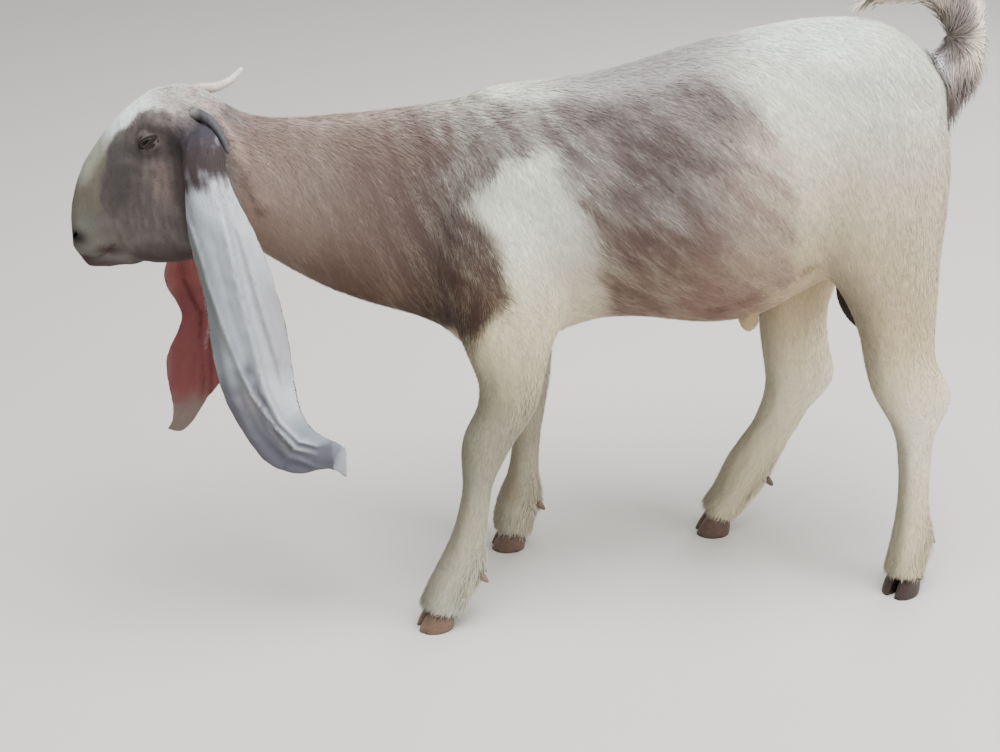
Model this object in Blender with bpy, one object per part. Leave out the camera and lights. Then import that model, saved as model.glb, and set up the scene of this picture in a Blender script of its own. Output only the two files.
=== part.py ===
"""A young Damascus buck kid, life size, as a museum keeps one: standing, its head
reached forward and down, its tail curled over its croup, its long ears hanging.

The goat looks along -X, its left side faces -Y and its soles are on z = 0. The flesh
is lofted through cross-sections, each named by where it begins and ends in the side
view. The lofts and a few muscle lumps are made one closed body, which thin cuts part
into head, neck, trunk and legs. Ears, eyes, horns, tail, claws, sheath and scrotum are
bodies of their own, each seated in a pocket of what carries it. Last, the figure is
moved so that the origin is the middle of its box's floor.
"""
import math

import bmesh
import bpy
import numpy as np
from mathutils import Euler, Matrix, Vector

# ------------------------------------------------------------ driving dimensions, metres
GAP = 0.0003            # left between two pieces that touch
FLESH_GRAIN = 0.0062    # cell of the remesh that makes the flesh one body
FLESH_FACES = 3700      # triangles kept in the flesh before it is parted
WITHERS_HEIGHT = 0.592
CLAW_LENGTH = 0.043
CLAW_WIDTH = 0.0195
CLAW_HEIGHT = 0.031
CLEFT = 0.0028          # between the two claws of a foot
DEWCLAW_LENGTH = 0.015
DEWCLAW_RADIUS = 0.0062
EYE_RADIUS = 0.0125
EAR_THICKNESS = 0.0048
HORN_ROOT_RADIUS = 0.0072
HORN_TIP_RADIUS = 0.0026

# Cross-sections of the spine, muzzle to rump: the upper point and the lower point as
# (x, z), the half width, and how far the widest level sinks below the middle (0 = none).
HEAD = [
    ((-0.5150, 0.4440), (-0.5030, 0.4240), 0.0120, 0.0),
    ((-0.5190, 0.4600), (-0.4910, 0.4200), 0.0205, 0.0),
    ((-0.5172, 0.4820), (-0.4800, 0.4200), 0.0245, 0.0),
    ((-0.5090, 0.5080), (-0.4700, 0.4230), 0.0270, 0.0),
    ((-0.4960, 0.5350), (-0.4560, 0.4260), 0.0315, 0.0),
    ((-0.4690, 0.5680), (-0.4380, 0.4260), 0.0390, 0.0),
    ((-0.4405, 0.5930), (-0.4160, 0.4250), 0.0440, -0.05),
    ((-0.4080, 0.6055), (-0.3930, 0.4290), 0.0470, -0.05),
    ((-0.3760, 0.6000), (-0.3720, 0.4390), 0.0440, 0.0),
]
NECK = [
    ((-0.3400, 0.5760), (-0.3470, 0.4360), 0.0370, 0.0),
    ((-0.3050, 0.5680), (-0.3180, 0.4150), 0.0380, 0.05),
    ((-0.2600, 0.5670), (-0.2740, 0.3850), 0.0430, 0.05),
    ((-0.2100, 0.5690), (-0.2260, 0.3620), 0.0490, 0.05),
    ((-0.1600, 0.5720), (-0.1800, 0.3460), 0.0570, 0.05),
]
TRUNK = [
    ((-0.1180, 0.5780), (-0.1420, 0.3275), 0.0660, 0.05),
    ((-0.0750, 0.5860), (-0.1060, 0.3070), 0.0740, 0.08),
    ((-0.0300, WITHERS_HEIGHT), (-0.0550, 0.3100), 0.0830, 0.10),
    ((0.0200, 0.5960), (0.0050, 0.3320), 0.0910, 0.13),
    ((0.0730, 0.6080), (0.0600, 0.3330), 0.1000, 0.16),
    ((0.1240, 0.6220), (0.1150, 0.3225), 0.1070, 0.18),
    ((0.1740, 0.6320), (0.1700, 0.3235), 0.1070, 0.18),
    ((0.2250, 0.6390), (0.2150, 0.3420), 0.0990, 0.14),
    ((0.2700, 0.6390), (0.2600, 0.3630), 0.0890, 0.05),
    ((0.3080, 0.6330), (0.3030, 0.3750), 0.0780, -0.05),
    ((0.3400, 0.6115), (0.3370, 0.4020), 0.0640, -0.10),
    ((0.3630, 0.5870), (0.3610, 0.4500), 0.0470, -0.05),
    ((0.3740, 0.5600), (0.3730, 0.5000), 0.0250, 0.0),
]

# Cross-sections of the legs, top to coronet: the front point and the rear point as (x, z),
# the middle's distance from the midline, the half width, and the foot's turn outwards.
FORELEG_LEFT = [
    ((-0.148, 0.470), (-0.030, 0.480), 0.052, 0.030, 0),
    ((-0.150, 0.420), (-0.020, 0.410), 0.061, 0.034, 0),
    ((-0.146, 0.370), (-0.028, 0.355), 0.067, 0.031, 0),
    ((-0.131, 0.325), (-0.044, 0.318), 0.069, 0.027, 0),
    ((-0.119, 0.290), (-0.050, 0.285), 0.068, 0.0245, 0),
    ((-0.123, 0.260), (-0.058, 0.255), 0.066, 0.0230, 0),
    ((-0.139, 0.230), (-0.078, 0.226), 0.065, 0.0245, 0),
    ((-0.142, 0.202), (-0.091, 0.200), 0.065, 0.0225, 0),
    ((-0.140, 0.175), (-0.103, 0.176), 0.066, 0.0175, 0),
    ((-0.146, 0.142), (-0.109, 0.142), 0.068, 0.0170, 0),
    ((-0.157, 0.108), (-0.113, 0.104), 0.066, 0.0180, 3),
    ((-0.172, 0.077), (-0.117, 0.066), 0.066, 0.0215, 6),
    ((-0.186, 0.050), (-0.132, 0.038), 0.066, 0.0215, 8),
    ((-0.195, 0.028), (-0.138, 0.014), 0.066, 0.0235, 8),
]
FORELEG_RIGHT = [
    ((-0.145, 0.470), (-0.025, 0.480), 0.052, 0.030, 0),
    ((-0.140, 0.420), (-0.010, 0.410), 0.061, 0.034, 0),
    ((-0.125, 0.370), (-0.006, 0.355), 0.067, 0.031, 0),
    ((-0.106, 0.325), (-0.015, 0.318), 0.070, 0.027, 0),
    ((-0.094, 0.290), (-0.022, 0.285), 0.070, 0.0245, 0),
    ((-0.089, 0.255), (-0.024, 0.255), 0.069, 0.0230, 0),
    ((-0.087, 0.225), (-0.026, 0.226), 0.069, 0.0245, 0),
    ((-0.080, 0.195), (-0.031, 0.196), 0.072, 0.0225, 0),
    ((-0.073, 0.165), (-0.035, 0.166), 0.076, 0.0175, 0),
    ((-0.074, 0.130), (-0.038, 0.130), 0.080, 0.0170, 0),
    ((-0.080, 0.098), (-0.038, 0.095), 0.084, 0.0180, 2),
    ((-0.091, 0.071), (-0.035, 0.063), 0.088, 0.0215, 4),
    ((-0.096, 0.046), (-0.046, 0.037), 0.090, 0.0215, 5),
    ((-0.098, 0.026), (-0.045, 0.014), 0.092, 0.0235, 5),
]
HINDLEG_LEFT = [
    ((0.245, 0.560), (0.360, 0.560), 0.043, 0.036, 0),
    ((0.232, 0.500), (0.371, 0.510), 0.053, 0.043, 0),
    ((0.226, 0.445), (0.370, 0.460), 0.060, 0.044, 0),
    ((0.236, 0.400), (0.364, 0.405), 0.065, 0.040, 0),
    ((0.262, 0.360), (0.364, 0.360), 0.067, 0.035, 0),
    ((0.279, 0.322), (0.364, 0.320), 0.068, 0.030, 0),
    ((0.288, 0.282), (0.368, 0.284), 0.068, 0.0255, 0),
    ((0.298, 0.248), (0.388, 0.252), 0.068, 0.0235, 0),
    ((0.317, 0.216), (0.389, 0.230), 0.068, 0.0225, 5),
    ((0.329, 0.186), (0.374, 0.194), 0.068, 0.0185, 12),
    ((0.334, 0.148), (0.374, 0.150), 0.067, 0.0170, 20),
    ((0.335, 0.105), (0.377, 0.105), 0.066, 0.0175, 28),
    ((0.330, 0.075), (0.386, 0.067), 0.066, 0.0215, 34),
    ((0.327, 0.048), (0.380, 0.040), 0.067, 0.0215, 38),
    ((0.323, 0.028), (0.379, 0.014), 0.067, 0.0235, 38),
]
HINDLEG_RIGHT = [
    ((0.240, 0.560), (0.366, 0.560), 0.043, 0.036, 0),
    ((0.222, 0.500), (0.374, 0.500), 0.053, 0.043, 0),
    ((0.206, 0.445), (0.366, 0.445), 0.060, 0.044, 0),
    ((0.200, 0.395), (0.342, 0.395), 0.065, 0.040, 0),
    ((0.201, 0.350), (0.313, 0.350), 0.068, 0.035, 0),
    ((0.205, 0.312), (0.293, 0.314), 0.069, 0.030, 0),
    ((0.207, 0.275), (0.288, 0.282), 0.068, 0.0255, 0),
    ((0.212, 0.240), (0.293, 0.244), 0.067, 0.0235, 0),
    ((0.217, 0.210), (0.302, 0.206), 0.066, 0.0225, 0),
    ((0.213, 0.180), (0.273, 0.170), 0.066, 0.0190, 0),
    ((0.2055, 0.153), (0.259, 0.136), 0.072, 0.0175, 0),
    ((0.1910, 0.127), (0.245, 0.104), 0.077, 0.0175, 2),
    ((0.1760, 0.095), (0.234, 0.076), 0.083, 0.0215, 4),
    ((0.1670, 0.064), (0.214, 0.046), 0.088, 0.0215, 6),
    ((0.150, 0.036), (0.197, 0.016), 0.090, 0.0235, 6),
]

# The tail, root to tip: the hairy outer edge and the bare inner edge as (x, z), half width.
TAIL = [
    ((0.348, 0.530), (0.338, 0.588), 0.0170, 0.0),
    ((0.384, 0.532), (0.360, 0.598), 0.0210, 0.0),
    ((0.410, 0.564), (0.366, 0.608), 0.0230, 0.0),
    ((0.417, 0.600), (0.364, 0.619), 0.0230, 0.0),
    ((0.413, 0.636), (0.357, 0.632), 0.0220, 0.0),
    ((0.396, 0.670), (0.345, 0.643), 0.0210, 0.0),
    ((0.362, 0.691), (0.331, 0.646), 0.0190, 0.0),
    ((0.326, 0.688), (0.314, 0.644), 0.0160, 0.0),
    ((0.297, 0.678), (0.299, 0.645), 0.0120, 0.0),
    ((0.278, 0.664), (0.285, 0.649), 0.0050, 0.0),
]

# The ears, root to tip: the front edge and the rear edge as (x, y, z), the thickness in
# the middle, and the depth of the hollow, which faces the midline.
EAR_LEFT = [
    ((-0.388, -0.040, 0.570), (-0.362, -0.040, 0.574), 0.018, 0.000),
    ((-0.395, -0.058, 0.556), (-0.353, -0.057, 0.560), 0.021, 0.002),
    ((-0.398, -0.071, 0.532), (-0.349, -0.069, 0.535), 0.017, 0.004),
    ((-0.399, -0.078, 0.503), (-0.340, -0.076, 0.505), 0.010, 0.008),
    ((-0.397, -0.082, 0.465), (-0.325, -0.080, 0.467), 0.0065, 0.012),
    ((-0.390, -0.084, 0.415), (-0.312, -0.082, 0.418), EAR_THICKNESS, 0.012),
    ((-0.388, -0.085, 0.360), (-0.304, -0.083, 0.365), EAR_THICKNESS, 0.011),
    ((-0.381, -0.086, 0.305), (-0.302, -0.084, 0.318), EAR_THICKNESS, 0.010),
    ((-0.364, -0.088, 0.262), (-0.298, -0.086, 0.284), EAR_THICKNESS, 0.009),
    ((-0.340, -0.091, 0.225), (-0.286, -0.089, 0.262), EAR_THICKNESS, 0.007),
    ((-0.305, -0.095, 0.213), (-0.270, -0.095, 0.254), EAR_THICKNESS, 0.004),
    ((-0.277, -0.101, 0.223), (-0.261, -0.102, 0.250), EAR_THICKNESS, 0.002),
    ((-0.259, -0.107, 0.211), (-0.257, -0.108, 0.250), 0.0034, 0.000),
]
EAR_RIGHT = [
    ((-0.390, 0.040, 0.572), (-0.364, 0.040, 0.576), 0.018, 0.000),
    ((-0.399, 0.058, 0.558), (-0.356, 0.057, 0.562), 0.021, 0.002),
    ((-0.404, 0.071, 0.534), (-0.352, 0.069, 0.537), 0.017, 0.005),
    ((-0.411, 0.078, 0.500), (-0.352, 0.076, 0.505), 0.010, 0.009),
    ((-0.422, 0.081, 0.455), (-0.354, 0.079, 0.462), 0.0065, 0.010),
    ((-0.433, 0.082, 0.408), (-0.358, 0.078, 0.416), EAR_THICKNESS, 0.008),
    ((-0.446, 0.080, 0.369), (-0.362, 0.083, 0.374), EAR_THICKNESS, 0.007),
    ((-0.426, 0.072, 0.330), (-0.366, 0.092, 0.330), EAR_THICKNESS, 0.006),
    ((-0.449, 0.066, 0.290), (-0.374, 0.097, 0.288), EAR_THICKNESS, 0.006),
    ((-0.451, 0.066, 0.252), (-0.384, 0.095, 0.247), EAR_THICKNESS, 0.005),
    ((-0.448, 0.070, 0.224), (-0.409, 0.089, 0.220), EAR_THICKNESS, 0.003),
    ((-0.451, 0.074, 0.203), (-0.428, 0.085, 0.194), EAR_THICKNESS, 0.002),
    ((-0.458, 0.078, 0.192), (-0.442, 0.083, 0.184), 0.0034, 0.000),
]

# The middle of the right eye; the left one mirrors it.
EYE_RIGHT = (-0.426, 0.0345, 0.560)

# The drops under the trunk: middle, half lengths (x, y, z), and lean in degrees.
SHEATH = ((0.180, 0.0, 0.319), (0.014, 0.011, 0.022), -6)
SCROTUM = ((0.301, 0.0, 0.338), (0.029, 0.022, 0.050), -20)

# The horns' middle lines, root to tip: back along the poll, then outwards.
HORN_LEFT = [(-0.388, -0.020, 0.572), (-0.380, -0.031, 0.583), (-0.368, -0.043, 0.581),
             (-0.357, -0.053, 0.569), (-0.350, -0.061, 0.551)]
HORN_RIGHT = [(-0.400, 0.012, 0.580), (-0.384, 0.018, 0.594), (-0.364, 0.025, 0.593),
              (-0.348, 0.034, 0.597), (-0.336, 0.044, 0.606)]

# Muscle and bone under the skin: centre (x, y, z), radii, and the turn about Y in degrees.
PAIRED_LUMPS = [
    ((-0.080, 0.044, 0.470), (0.062, 0.034, 0.105), 16),     # shoulder blade
    ((-0.108, 0.050, 0.405), (0.046, 0.038, 0.060), -20),    # point of the shoulder
    ((0.246, 0.040, 0.592), (0.050, 0.032, 0.032), 8),       # hip bone
    ((0.345, 0.026, 0.556), (0.026, 0.024, 0.036), 0),       # pin bone
    ((-0.416, 0.031, 0.580), (0.020, 0.015, 0.012), -35),    # brow
    ((-0.394, 0.029, 0.480), (0.030, 0.019, 0.040), 10),     # cheek
    ((-0.412, 0.018, 0.440), (0.046, 0.015, 0.013), -4),     # lower jaw
    ((-0.387, 0.040, 0.562), (0.020, 0.016, 0.020), 0),      # root of the ear
    ((-0.508, 0.010, 0.455), (0.011, 0.012, 0.015), 25),     # wing of the nostril
    ((-0.499, 0.010, 0.434), (0.012, 0.014, 0.010), 20),     # upper lip
]
MIDLINE_LUMPS = [
    ((-0.488, 0.000, 0.4285), (0.016, 0.014, 0.009), 10),    # lower lip and chin
    ((-0.106, 0.000, 0.338), (0.040, 0.040, 0.032), -20),    # brisket
    ((-0.050, 0.000, 0.566), (0.070, 0.030, 0.022), 5),      # withers
]

# Where the flesh is parted: an outline in the side view and the span of y it holds for.
LEFT = (-0.30, -0.030)
RIGHT = (0.030, 0.30)
BOTH = (-0.30, 0.30)
CUTS = {
    "head": ([(-0.70, 0.30), (-0.365, 0.30), (-0.329, 0.80), (-0.70, 0.80)], BOTH),
    "neck": ([(-0.50, 0.30), (-0.177, 0.30), (-0.057, 0.80), (-0.50, 0.80)], BOTH),
    "foreleg_left": ([(-0.26, -0.05), (-0.165, 0.355), (-0.135, 0.405), (-0.085, 0.425),
                      (-0.030, 0.395), (0.000, 0.345), (0.020, 0.250), (0.020, -0.05)], LEFT),
    "foreleg_right": ([(-0.18, -0.05), (-0.150, 0.355), (-0.122, 0.405), (-0.072, 0.425),
                       (-0.018, 0.395), (0.012, 0.345), (0.032, 0.250), (0.032, -0.05)], RIGHT),
    "hindleg_left": ([(0.280, -0.05), (0.268, 0.300), (0.240, 0.352), (0.222, 0.420),
                      (0.236, 0.500), (0.278, 0.545), (0.335, 0.552), (0.400, 0.525),
                      (0.430, 0.400), (0.430, -0.05)], LEFT),
    "hindleg_right": ([(0.110, -0.05), (0.190, 0.250), (0.195, 0.345), (0.206, 0.420),
                       (0.228, 0.500), (0.272, 0.545), (0.335, 0.552), (0.400, 0.525),
                       (0.400, 0.400), (0.330, 0.250), (0.330, -0.05)], RIGHT),
}

# Feet: the middle of the sole (x, y) and the heading of the toes, turned outwards.
FEET = {
    "foreleg_left": (-0.1725, -0.0660, 8),
    "foreleg_right": (-0.0755, 0.0920, 5),
    "hindleg_left": (0.3500, -0.0690, 38),
    "hindleg_right": (0.1700, 0.0900, 6),
}
# Dewclaws: the middle of the pair (x, y, z) behind each fetlock.
FETLOCKS = {
    "foreleg_left": (-0.1200, -0.0655, 0.0620),
    "foreleg_right": (-0.0395, 0.0860, 0.0600),
    "hindleg_left": (0.3800, -0.0560, 0.0630),
    "hindleg_right": (0.2300, 0.0820, 0.0720),
}

COLOURS = {                    # base colour, roughness
    "coat_white": ((0.72, 0.68, 0.60), 0.85),
    "coat_roan": ((0.43, 0.31, 0.26), 0.85),
    "coat_face": ((0.34, 0.28, 0.24), 0.85),
    "ear_skin": ((0.60, 0.56, 0.58), 0.80),
    "horn": ((0.30, 0.29, 0.29), 0.45),
    "hoof": ((0.33, 0.21, 0.17), 0.55),
    "eye": ((0.12, 0.07, 0.03), 0.10),
    "dark_skin": ((0.13, 0.11, 0.11), 0.75),
}


# ------------------------------------------------------------------------- general tools
def clear_scene():
    for thing in list(bpy.data.objects):
        bpy.data.objects.remove(thing, do_unlink=True)


def paint(thing, colour):
    """Give the object a Principled material of one of COLOURS."""
    material = bpy.data.materials.get(colour) or bpy.data.materials.new(colour)
    material.use_nodes = True
    shader = material.node_tree.nodes["Principled BSDF"]
    base, roughness = COLOURS[colour]
    shader.inputs["Base Color"].default_value = (*base, 1.0)
    shader.inputs["Roughness"].default_value = roughness
    thing.data.materials.clear()
    thing.data.materials.append(material)


def new_object(name, mesh_builder):
    """Make an object from a bmesh that mesh_builder fills, with its faces outwards."""
    bm = bmesh.new()
    mesh_builder(bm)
    bmesh.ops.recalc_face_normals(bm, faces=bm.faces)
    mesh = bpy.data.meshes.new(name)
    bm.to_mesh(mesh)
    bm.free()
    thing = bpy.data.objects.new(name, mesh)
    bpy.context.scene.collection.objects.link(thing)
    return thing


def bake_modifiers(thing):
    """Replace the object's mesh by what its modifiers make of it."""
    graph = bpy.context.evaluated_depsgraph_get()
    mesh = bpy.data.meshes.new_from_object(thing.evaluated_get(graph))
    thing.modifiers.clear()
    thing.data = mesh


def combine(thing, cutter, operation):
    """Apply a Boolean of cutter to the object."""
    modifier = thing.modifiers.new(operation.title(), "BOOLEAN")
    modifier.operation = operation
    modifier.object = cutter
    bake_modifiers(thing)


def copy_of(thing, name):
    twin = thing.copy()
    twin.data = thing.data.copy()
    twin.name = name
    bpy.context.scene.collection.objects.link(twin)
    return twin


def discard(thing):
    bpy.data.objects.remove(thing, do_unlink=True)


def grown_copy(thing, distance):
    """A copy whose faces all stand off by the distance."""
    twin = copy_of(thing, thing.name + "_grown")
    bm = bmesh.new()
    bm.from_mesh(twin.data)
    bm.normal_update()
    moves = [v.normal * (v.calc_shell_factor() * distance) for v in bm.verts]
    for vertex, move in zip(bm.verts, moves):
        vertex.co += move
    bm.to_mesh(twin.data)
    bm.free()
    return twin


def seat(piece, host):
    """Cut a pocket in host that holds piece with GAP all round."""
    cutter = grown_copy(piece, GAP)
    combine(host, cutter, "DIFFERENCE")
    discard(cutter)


def through(rows, steps):
    """Rows of numbers passed through by a Catmull-Rom curve, with steps to a stretch."""
    rows = [np.array(row, dtype=float) for row in rows]
    rows = [2 * rows[0] - rows[1]] + rows + [2 * rows[-1] - rows[-2]]
    out = []
    for a, b, c, d in zip(rows, rows[1:], rows[2:], rows[3:]):
        for step in range(steps):
            t = step / steps
            out.append(0.5 * (2 * b + (c - a) * t + (2 * a - 5 * b + 4 * c - d) * t**2
                              + (3 * b - a - 3 * c + d) * t**3))
    out.append(rows[-2])
    return out


def skin_rings(bm, rings):
    """Join rings of points with quads into a closed tube, its two ends fanned shut."""
    loops = [[bm.verts.new(point) for point in ring] for ring in rings]
    count = len(loops[0])
    for near, far in zip(loops, loops[1:]):
        for i in range(count):
            j = (i + 1) % count
            bm.faces.new((near[i], near[j], far[j], far[i]))
    for loop in (loops[0], loops[-1]):
        middle = bm.verts.new(sum((v.co for v in loop), Vector()) / count)
        for i in range(count):
            bm.faces.new((loop[i], loop[(i + 1) % count], middle))


# ------------------------------------------------------------------------------ the flesh
def section_ring(upper, lower, half_width, sink, side=0.0, turn=0.0, sides=22):
    """An oval through two points of the side view, turned about its own upright axis."""
    middle = Vector(((upper[0] + lower[0]) / 2, side, (upper[1] + lower[1]) / 2))
    reach = Vector(((upper[0] - lower[0]) / 2, 0.0, (upper[1] - lower[1]) / 2))
    rotation = Matrix.Rotation(math.radians(turn), 3, "Z")
    ring = []
    for i in range(sides):
        angle = math.tau * i / sides
        along = math.cos(angle)
        across = math.sin(angle) * (1 - sink * along)
        offset = reach * along + Vector((0.0, half_width * across, 0.0))
        ring.append(middle + rotation @ offset)
    return ring


def spine_loft(name, sections, steps=3, sides=22):
    rows = through([(*u, *l, w, s) for u, l, w, s in sections], steps)
    rings = [section_ring(r[0:2], r[2:4], r[4], r[5], sides=sides) for r in rows]
    return new_object(name, lambda bm: skin_rings(bm, rings))


def leg_loft(name, sections, side):
    """A leg; side is -1 for the left, whose feet turn out the other way."""
    rows = through([(*f, *r, y, w, t) for f, r, y, w, t in sections], 3)
    rings = [section_ring(r[0:2], r[2:4], r[5], 0.0, side * r[4], -side * r[6], 18)
             for r in rows]
    return new_object(name, lambda bm: skin_rings(bm, rings))


def lump(centre, radii, turn):
    """An ellipsoid that stands for a muscle or a bone."""
    def build(bm):
        bmesh.ops.create_icosphere(bm, subdivisions=3, radius=1.0)
        bmesh.ops.scale(bm, vec=radii, verts=bm.verts)
        bmesh.ops.rotate(bm, cent=(0, 0, 0), verts=bm.verts,
                         matrix=Matrix.Rotation(math.radians(turn), 3, "Y"))
        bmesh.ops.translate(bm, vec=centre, verts=bm.verts)
    return new_object("lump", build)


def make_flesh():
    """Head, neck, trunk and legs as one closed body."""
    pieces = [spine_loft("spine", HEAD + NECK + TRUNK, sides=28)]
    pieces.append(leg_loft("leg", FORELEG_LEFT, -1))
    pieces.append(leg_loft("leg", FORELEG_RIGHT, 1))
    pieces.append(leg_loft("leg", HINDLEG_LEFT, -1))
    pieces.append(leg_loft("leg", HINDLEG_RIGHT, 1))
    pieces += [lump(*row) for row in MIDLINE_LUMPS]
    for (x, y, z), radii, turn in PAIRED_LUMPS:
        pieces.append(lump((x, y, z), radii, turn))
        pieces.append(lump((x, -y, z), radii, turn))
    bm = bmesh.new()
    for piece in pieces:
        bm.from_mesh(piece.data)
        discard(piece)
    mesh = bpy.data.meshes.new("flesh")
    bm.to_mesh(mesh)
    bm.free()
    flesh = bpy.data.objects.new("flesh", mesh)
    bpy.context.scene.collection.objects.link(flesh)

    remesh = flesh.modifiers.new("One body", "REMESH")
    remesh.mode = "VOXEL"
    remesh.voxel_size = FLESH_GRAIN
    smooth = flesh.modifiers.new("Soften", "SMOOTH")
    smooth.factor = 0.5
    smooth.iterations = 5
    bake_modifiers(flesh)
    thin = flesh.modifiers.new("Fewer faces", "DECIMATE")
    thin.ratio = FLESH_FACES / (2 * len(flesh.data.polygons))
    bake_modifiers(flesh)
    return flesh


def prism(outline, span):
    """An outline of the side view, extruded across the goat."""
    def build(bm):
        face = bm.faces.new([bm.verts.new((x, span[0], z)) for x, z in outline])
        grown = bmesh.ops.extrude_face_region(bm, geom=[face])
        far = [v for v in grown["geom"] if isinstance(v, bmesh.types.BMVert)]
        bmesh.ops.translate(bm, vec=(0, span[1] - span[0], 0), verts=far)
    return new_object("cutter", build)


def part_flesh(flesh):
    """Cut the flesh into its named pieces; what is left over is the trunk."""
    pieces = {}
    for name, (outline, span) in CUTS.items():
        cutter = prism(outline, span)
        pieces[name] = copy_of(flesh, name)
        combine(pieces[name], cutter, "INTERSECT")
        wide = grown_copy(cutter, GAP)
        combine(flesh, wide, "DIFFERENCE")
        discard(wide)
        discard(cutter)
    flesh.name = "trunk"
    pieces["trunk"] = flesh
    return pieces


# ------------------------------------------------------------------- ears, horns and eyes
def ear_ring(front, rear, thickness, hollow, along, inward, sides=8):
    """A thin leaf section between two edges, bowed away from the midline."""
    front, rear = Vector(front), Vector(rear)
    half = (front - rear) / 2
    normal = half.cross(along).normalized()
    if normal.y * inward > 0:
        normal.negate()
    ring = []
    for i in range(sides):
        angle = math.tau * i / sides
        across = math.cos(angle)
        bow = hollow * (1 - across**2)
        ring.append((front + rear) / 2 + half * across
                    + normal * (bow + thickness / 2 * math.sin(angle)))
    return ring


def make_ear(name, sections, inward):
    """An ear lofted along its length; inward is the sign of y towards the midline."""
    rows = through([(*f, *r, t, h) for f, r, t, h in sections], 2)
    middles = [Vector((r[0:3] + r[3:6]) / 2) for r in rows]
    rings = []
    for i, row in enumerate(rows):
        before = middles[max(i - 1, 0)]
        after = middles[min(i + 1, len(rows) - 1)]
        rings.append(ear_ring(row[0:3], row[3:6], row[6], row[7], after - before, inward))
    return new_object(name, lambda bm: skin_rings(bm, rings))


def make_horn(name, points, sides=9):
    """A tapering horn swept along its middle line, round at the tip."""
    rows = [Vector(row) for row in through(points, 3)]
    rings = []
    for i, middle in enumerate(rows):
        share = i / (len(rows) - 1)
        radius = HORN_ROOT_RADIUS + (HORN_TIP_RADIUS - HORN_ROOT_RADIUS) * share**1.3
        along = rows[min(i + 1, len(rows) - 1)] - rows[max(i - 1, 0)]
        across = along.cross(Vector((0, 0, 1))).normalized()
        up = across.cross(along).normalized()
        rings.append([middle + across * (radius * 0.9 * math.cos(math.tau * k / sides))
                      + up * (radius * math.sin(math.tau * k / sides))
                      for k in range(sides)])
    return new_object(name, lambda bm: skin_rings(bm, rings))


def make_eye(name, centre):
    def build(bm):
        bmesh.ops.create_uvsphere(bm, u_segments=10, v_segments=7, radius=EYE_RADIUS)
        bmesh.ops.translate(bm, vec=centre, verts=bm.verts)
    return new_object(name, build)


# --------------------------------------------------------------------------------- feet
def claw_ring(height, toe, heel, inner, outer, sides=10):
    """A level outline of a claw: rounded outside, flat along the cleft."""
    ring = []
    for i in range(sides):
        angle = math.tau * i / sides
        across = math.sin(angle)
        width = (outer - inner) * 0.80 if across > 0 else (outer - inner) * 0.20
        middle = inner + (outer - inner) * 0.20
        ring.append(Vector(((toe + heel) / 2 + (toe - heel) / 2 * math.cos(angle),
                            middle + width * across, height)))
    return ring


def make_claw(name, foot, outside):
    """One claw of a cloven foot; outside is the sign of y on its rounded side."""
    x, y, heading = FEET[foot]
    toe = CLAW_LENGTH * 0.54
    heel = toe - CLAW_LENGTH
    inner = CLEFT / 2
    outer = inner + CLAW_WIDTH
    rings = [
        claw_ring(0.0, toe, heel * 0.94, inner, outer),
        claw_ring(CLAW_HEIGHT * 0.50, toe * 0.70, heel, inner, outer - 0.001),
        claw_ring(CLAW_HEIGHT, toe * 0.22, heel * 0.90, inner + 0.002, outer - 0.004),
    ]
    side = -1 if foot.endswith("left") else 1
    turn = Matrix.Rotation(math.radians(180 - side * heading), 3, "Z")
    placed = []
    for ring in rings:
        flipped = [Vector((p.x, -outside * p.y, p.z)) for p in ring]
        placed.append([turn @ p + Vector((x, y, 0)) for p in flipped])
    return new_object(name, lambda bm: skin_rings(bm, placed))


def make_dewclaw(name, foot, outside):
    """A small horn cone that points down and back behind the fetlock."""
    x, y, z = FETLOCKS[foot]

    def build(bm):
        bmesh.ops.create_cone(bm, cap_ends=True, segments=7, radius1=DEWCLAW_RADIUS,
                              radius2=DEWCLAW_RADIUS * 0.35, depth=DEWCLAW_LENGTH)
        tilt = Euler((0.0, math.radians(142), 0.0)).to_matrix()
        bmesh.ops.rotate(bm, cent=(0, 0, 0), matrix=tilt, verts=bm.verts)
        bmesh.ops.translate(bm, vec=(x, y + outside * 0.0105, z), verts=bm.verts)
    return new_object(name, build)


def make_drop(name, centre, radii, lean):
    """A hanging, egg-shaped body, narrower above than below."""
    def build(bm):
        bmesh.ops.create_uvsphere(bm, u_segments=10, v_segments=7, radius=1.0)
        for vertex in bm.verts:
            narrowing = 1 - 0.30 * max(vertex.co.z, 0.0)
            vertex.co.x *= narrowing
            vertex.co.y *= narrowing
        bmesh.ops.scale(bm, vec=radii, verts=bm.verts)
        bmesh.ops.rotate(bm, cent=(0, 0, 0), verts=bm.verts,
                         matrix=Matrix.Rotation(math.radians(lean), 3, "Y"))
        bmesh.ops.translate(bm, vec=centre, verts=bm.verts)
    return new_object(name, build)


# ------------------------------------------------------------------------- the whole goat
def stand_on_origin(things):
    """Move everything so that the box's floor has its middle at the origin."""
    corners = [v.co for thing in things for v in thing.data.vertices]
    low = Vector([min(c[i] for c in corners) for i in range(3)])
    high = Vector([max(c[i] for c in corners) for i in range(3)])
    shift = Matrix.Translation((-(low.x + high.x) / 2, -(low.y + high.y) / 2, -low.z))
    for thing in things:
        thing.data.transform(shift)


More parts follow.
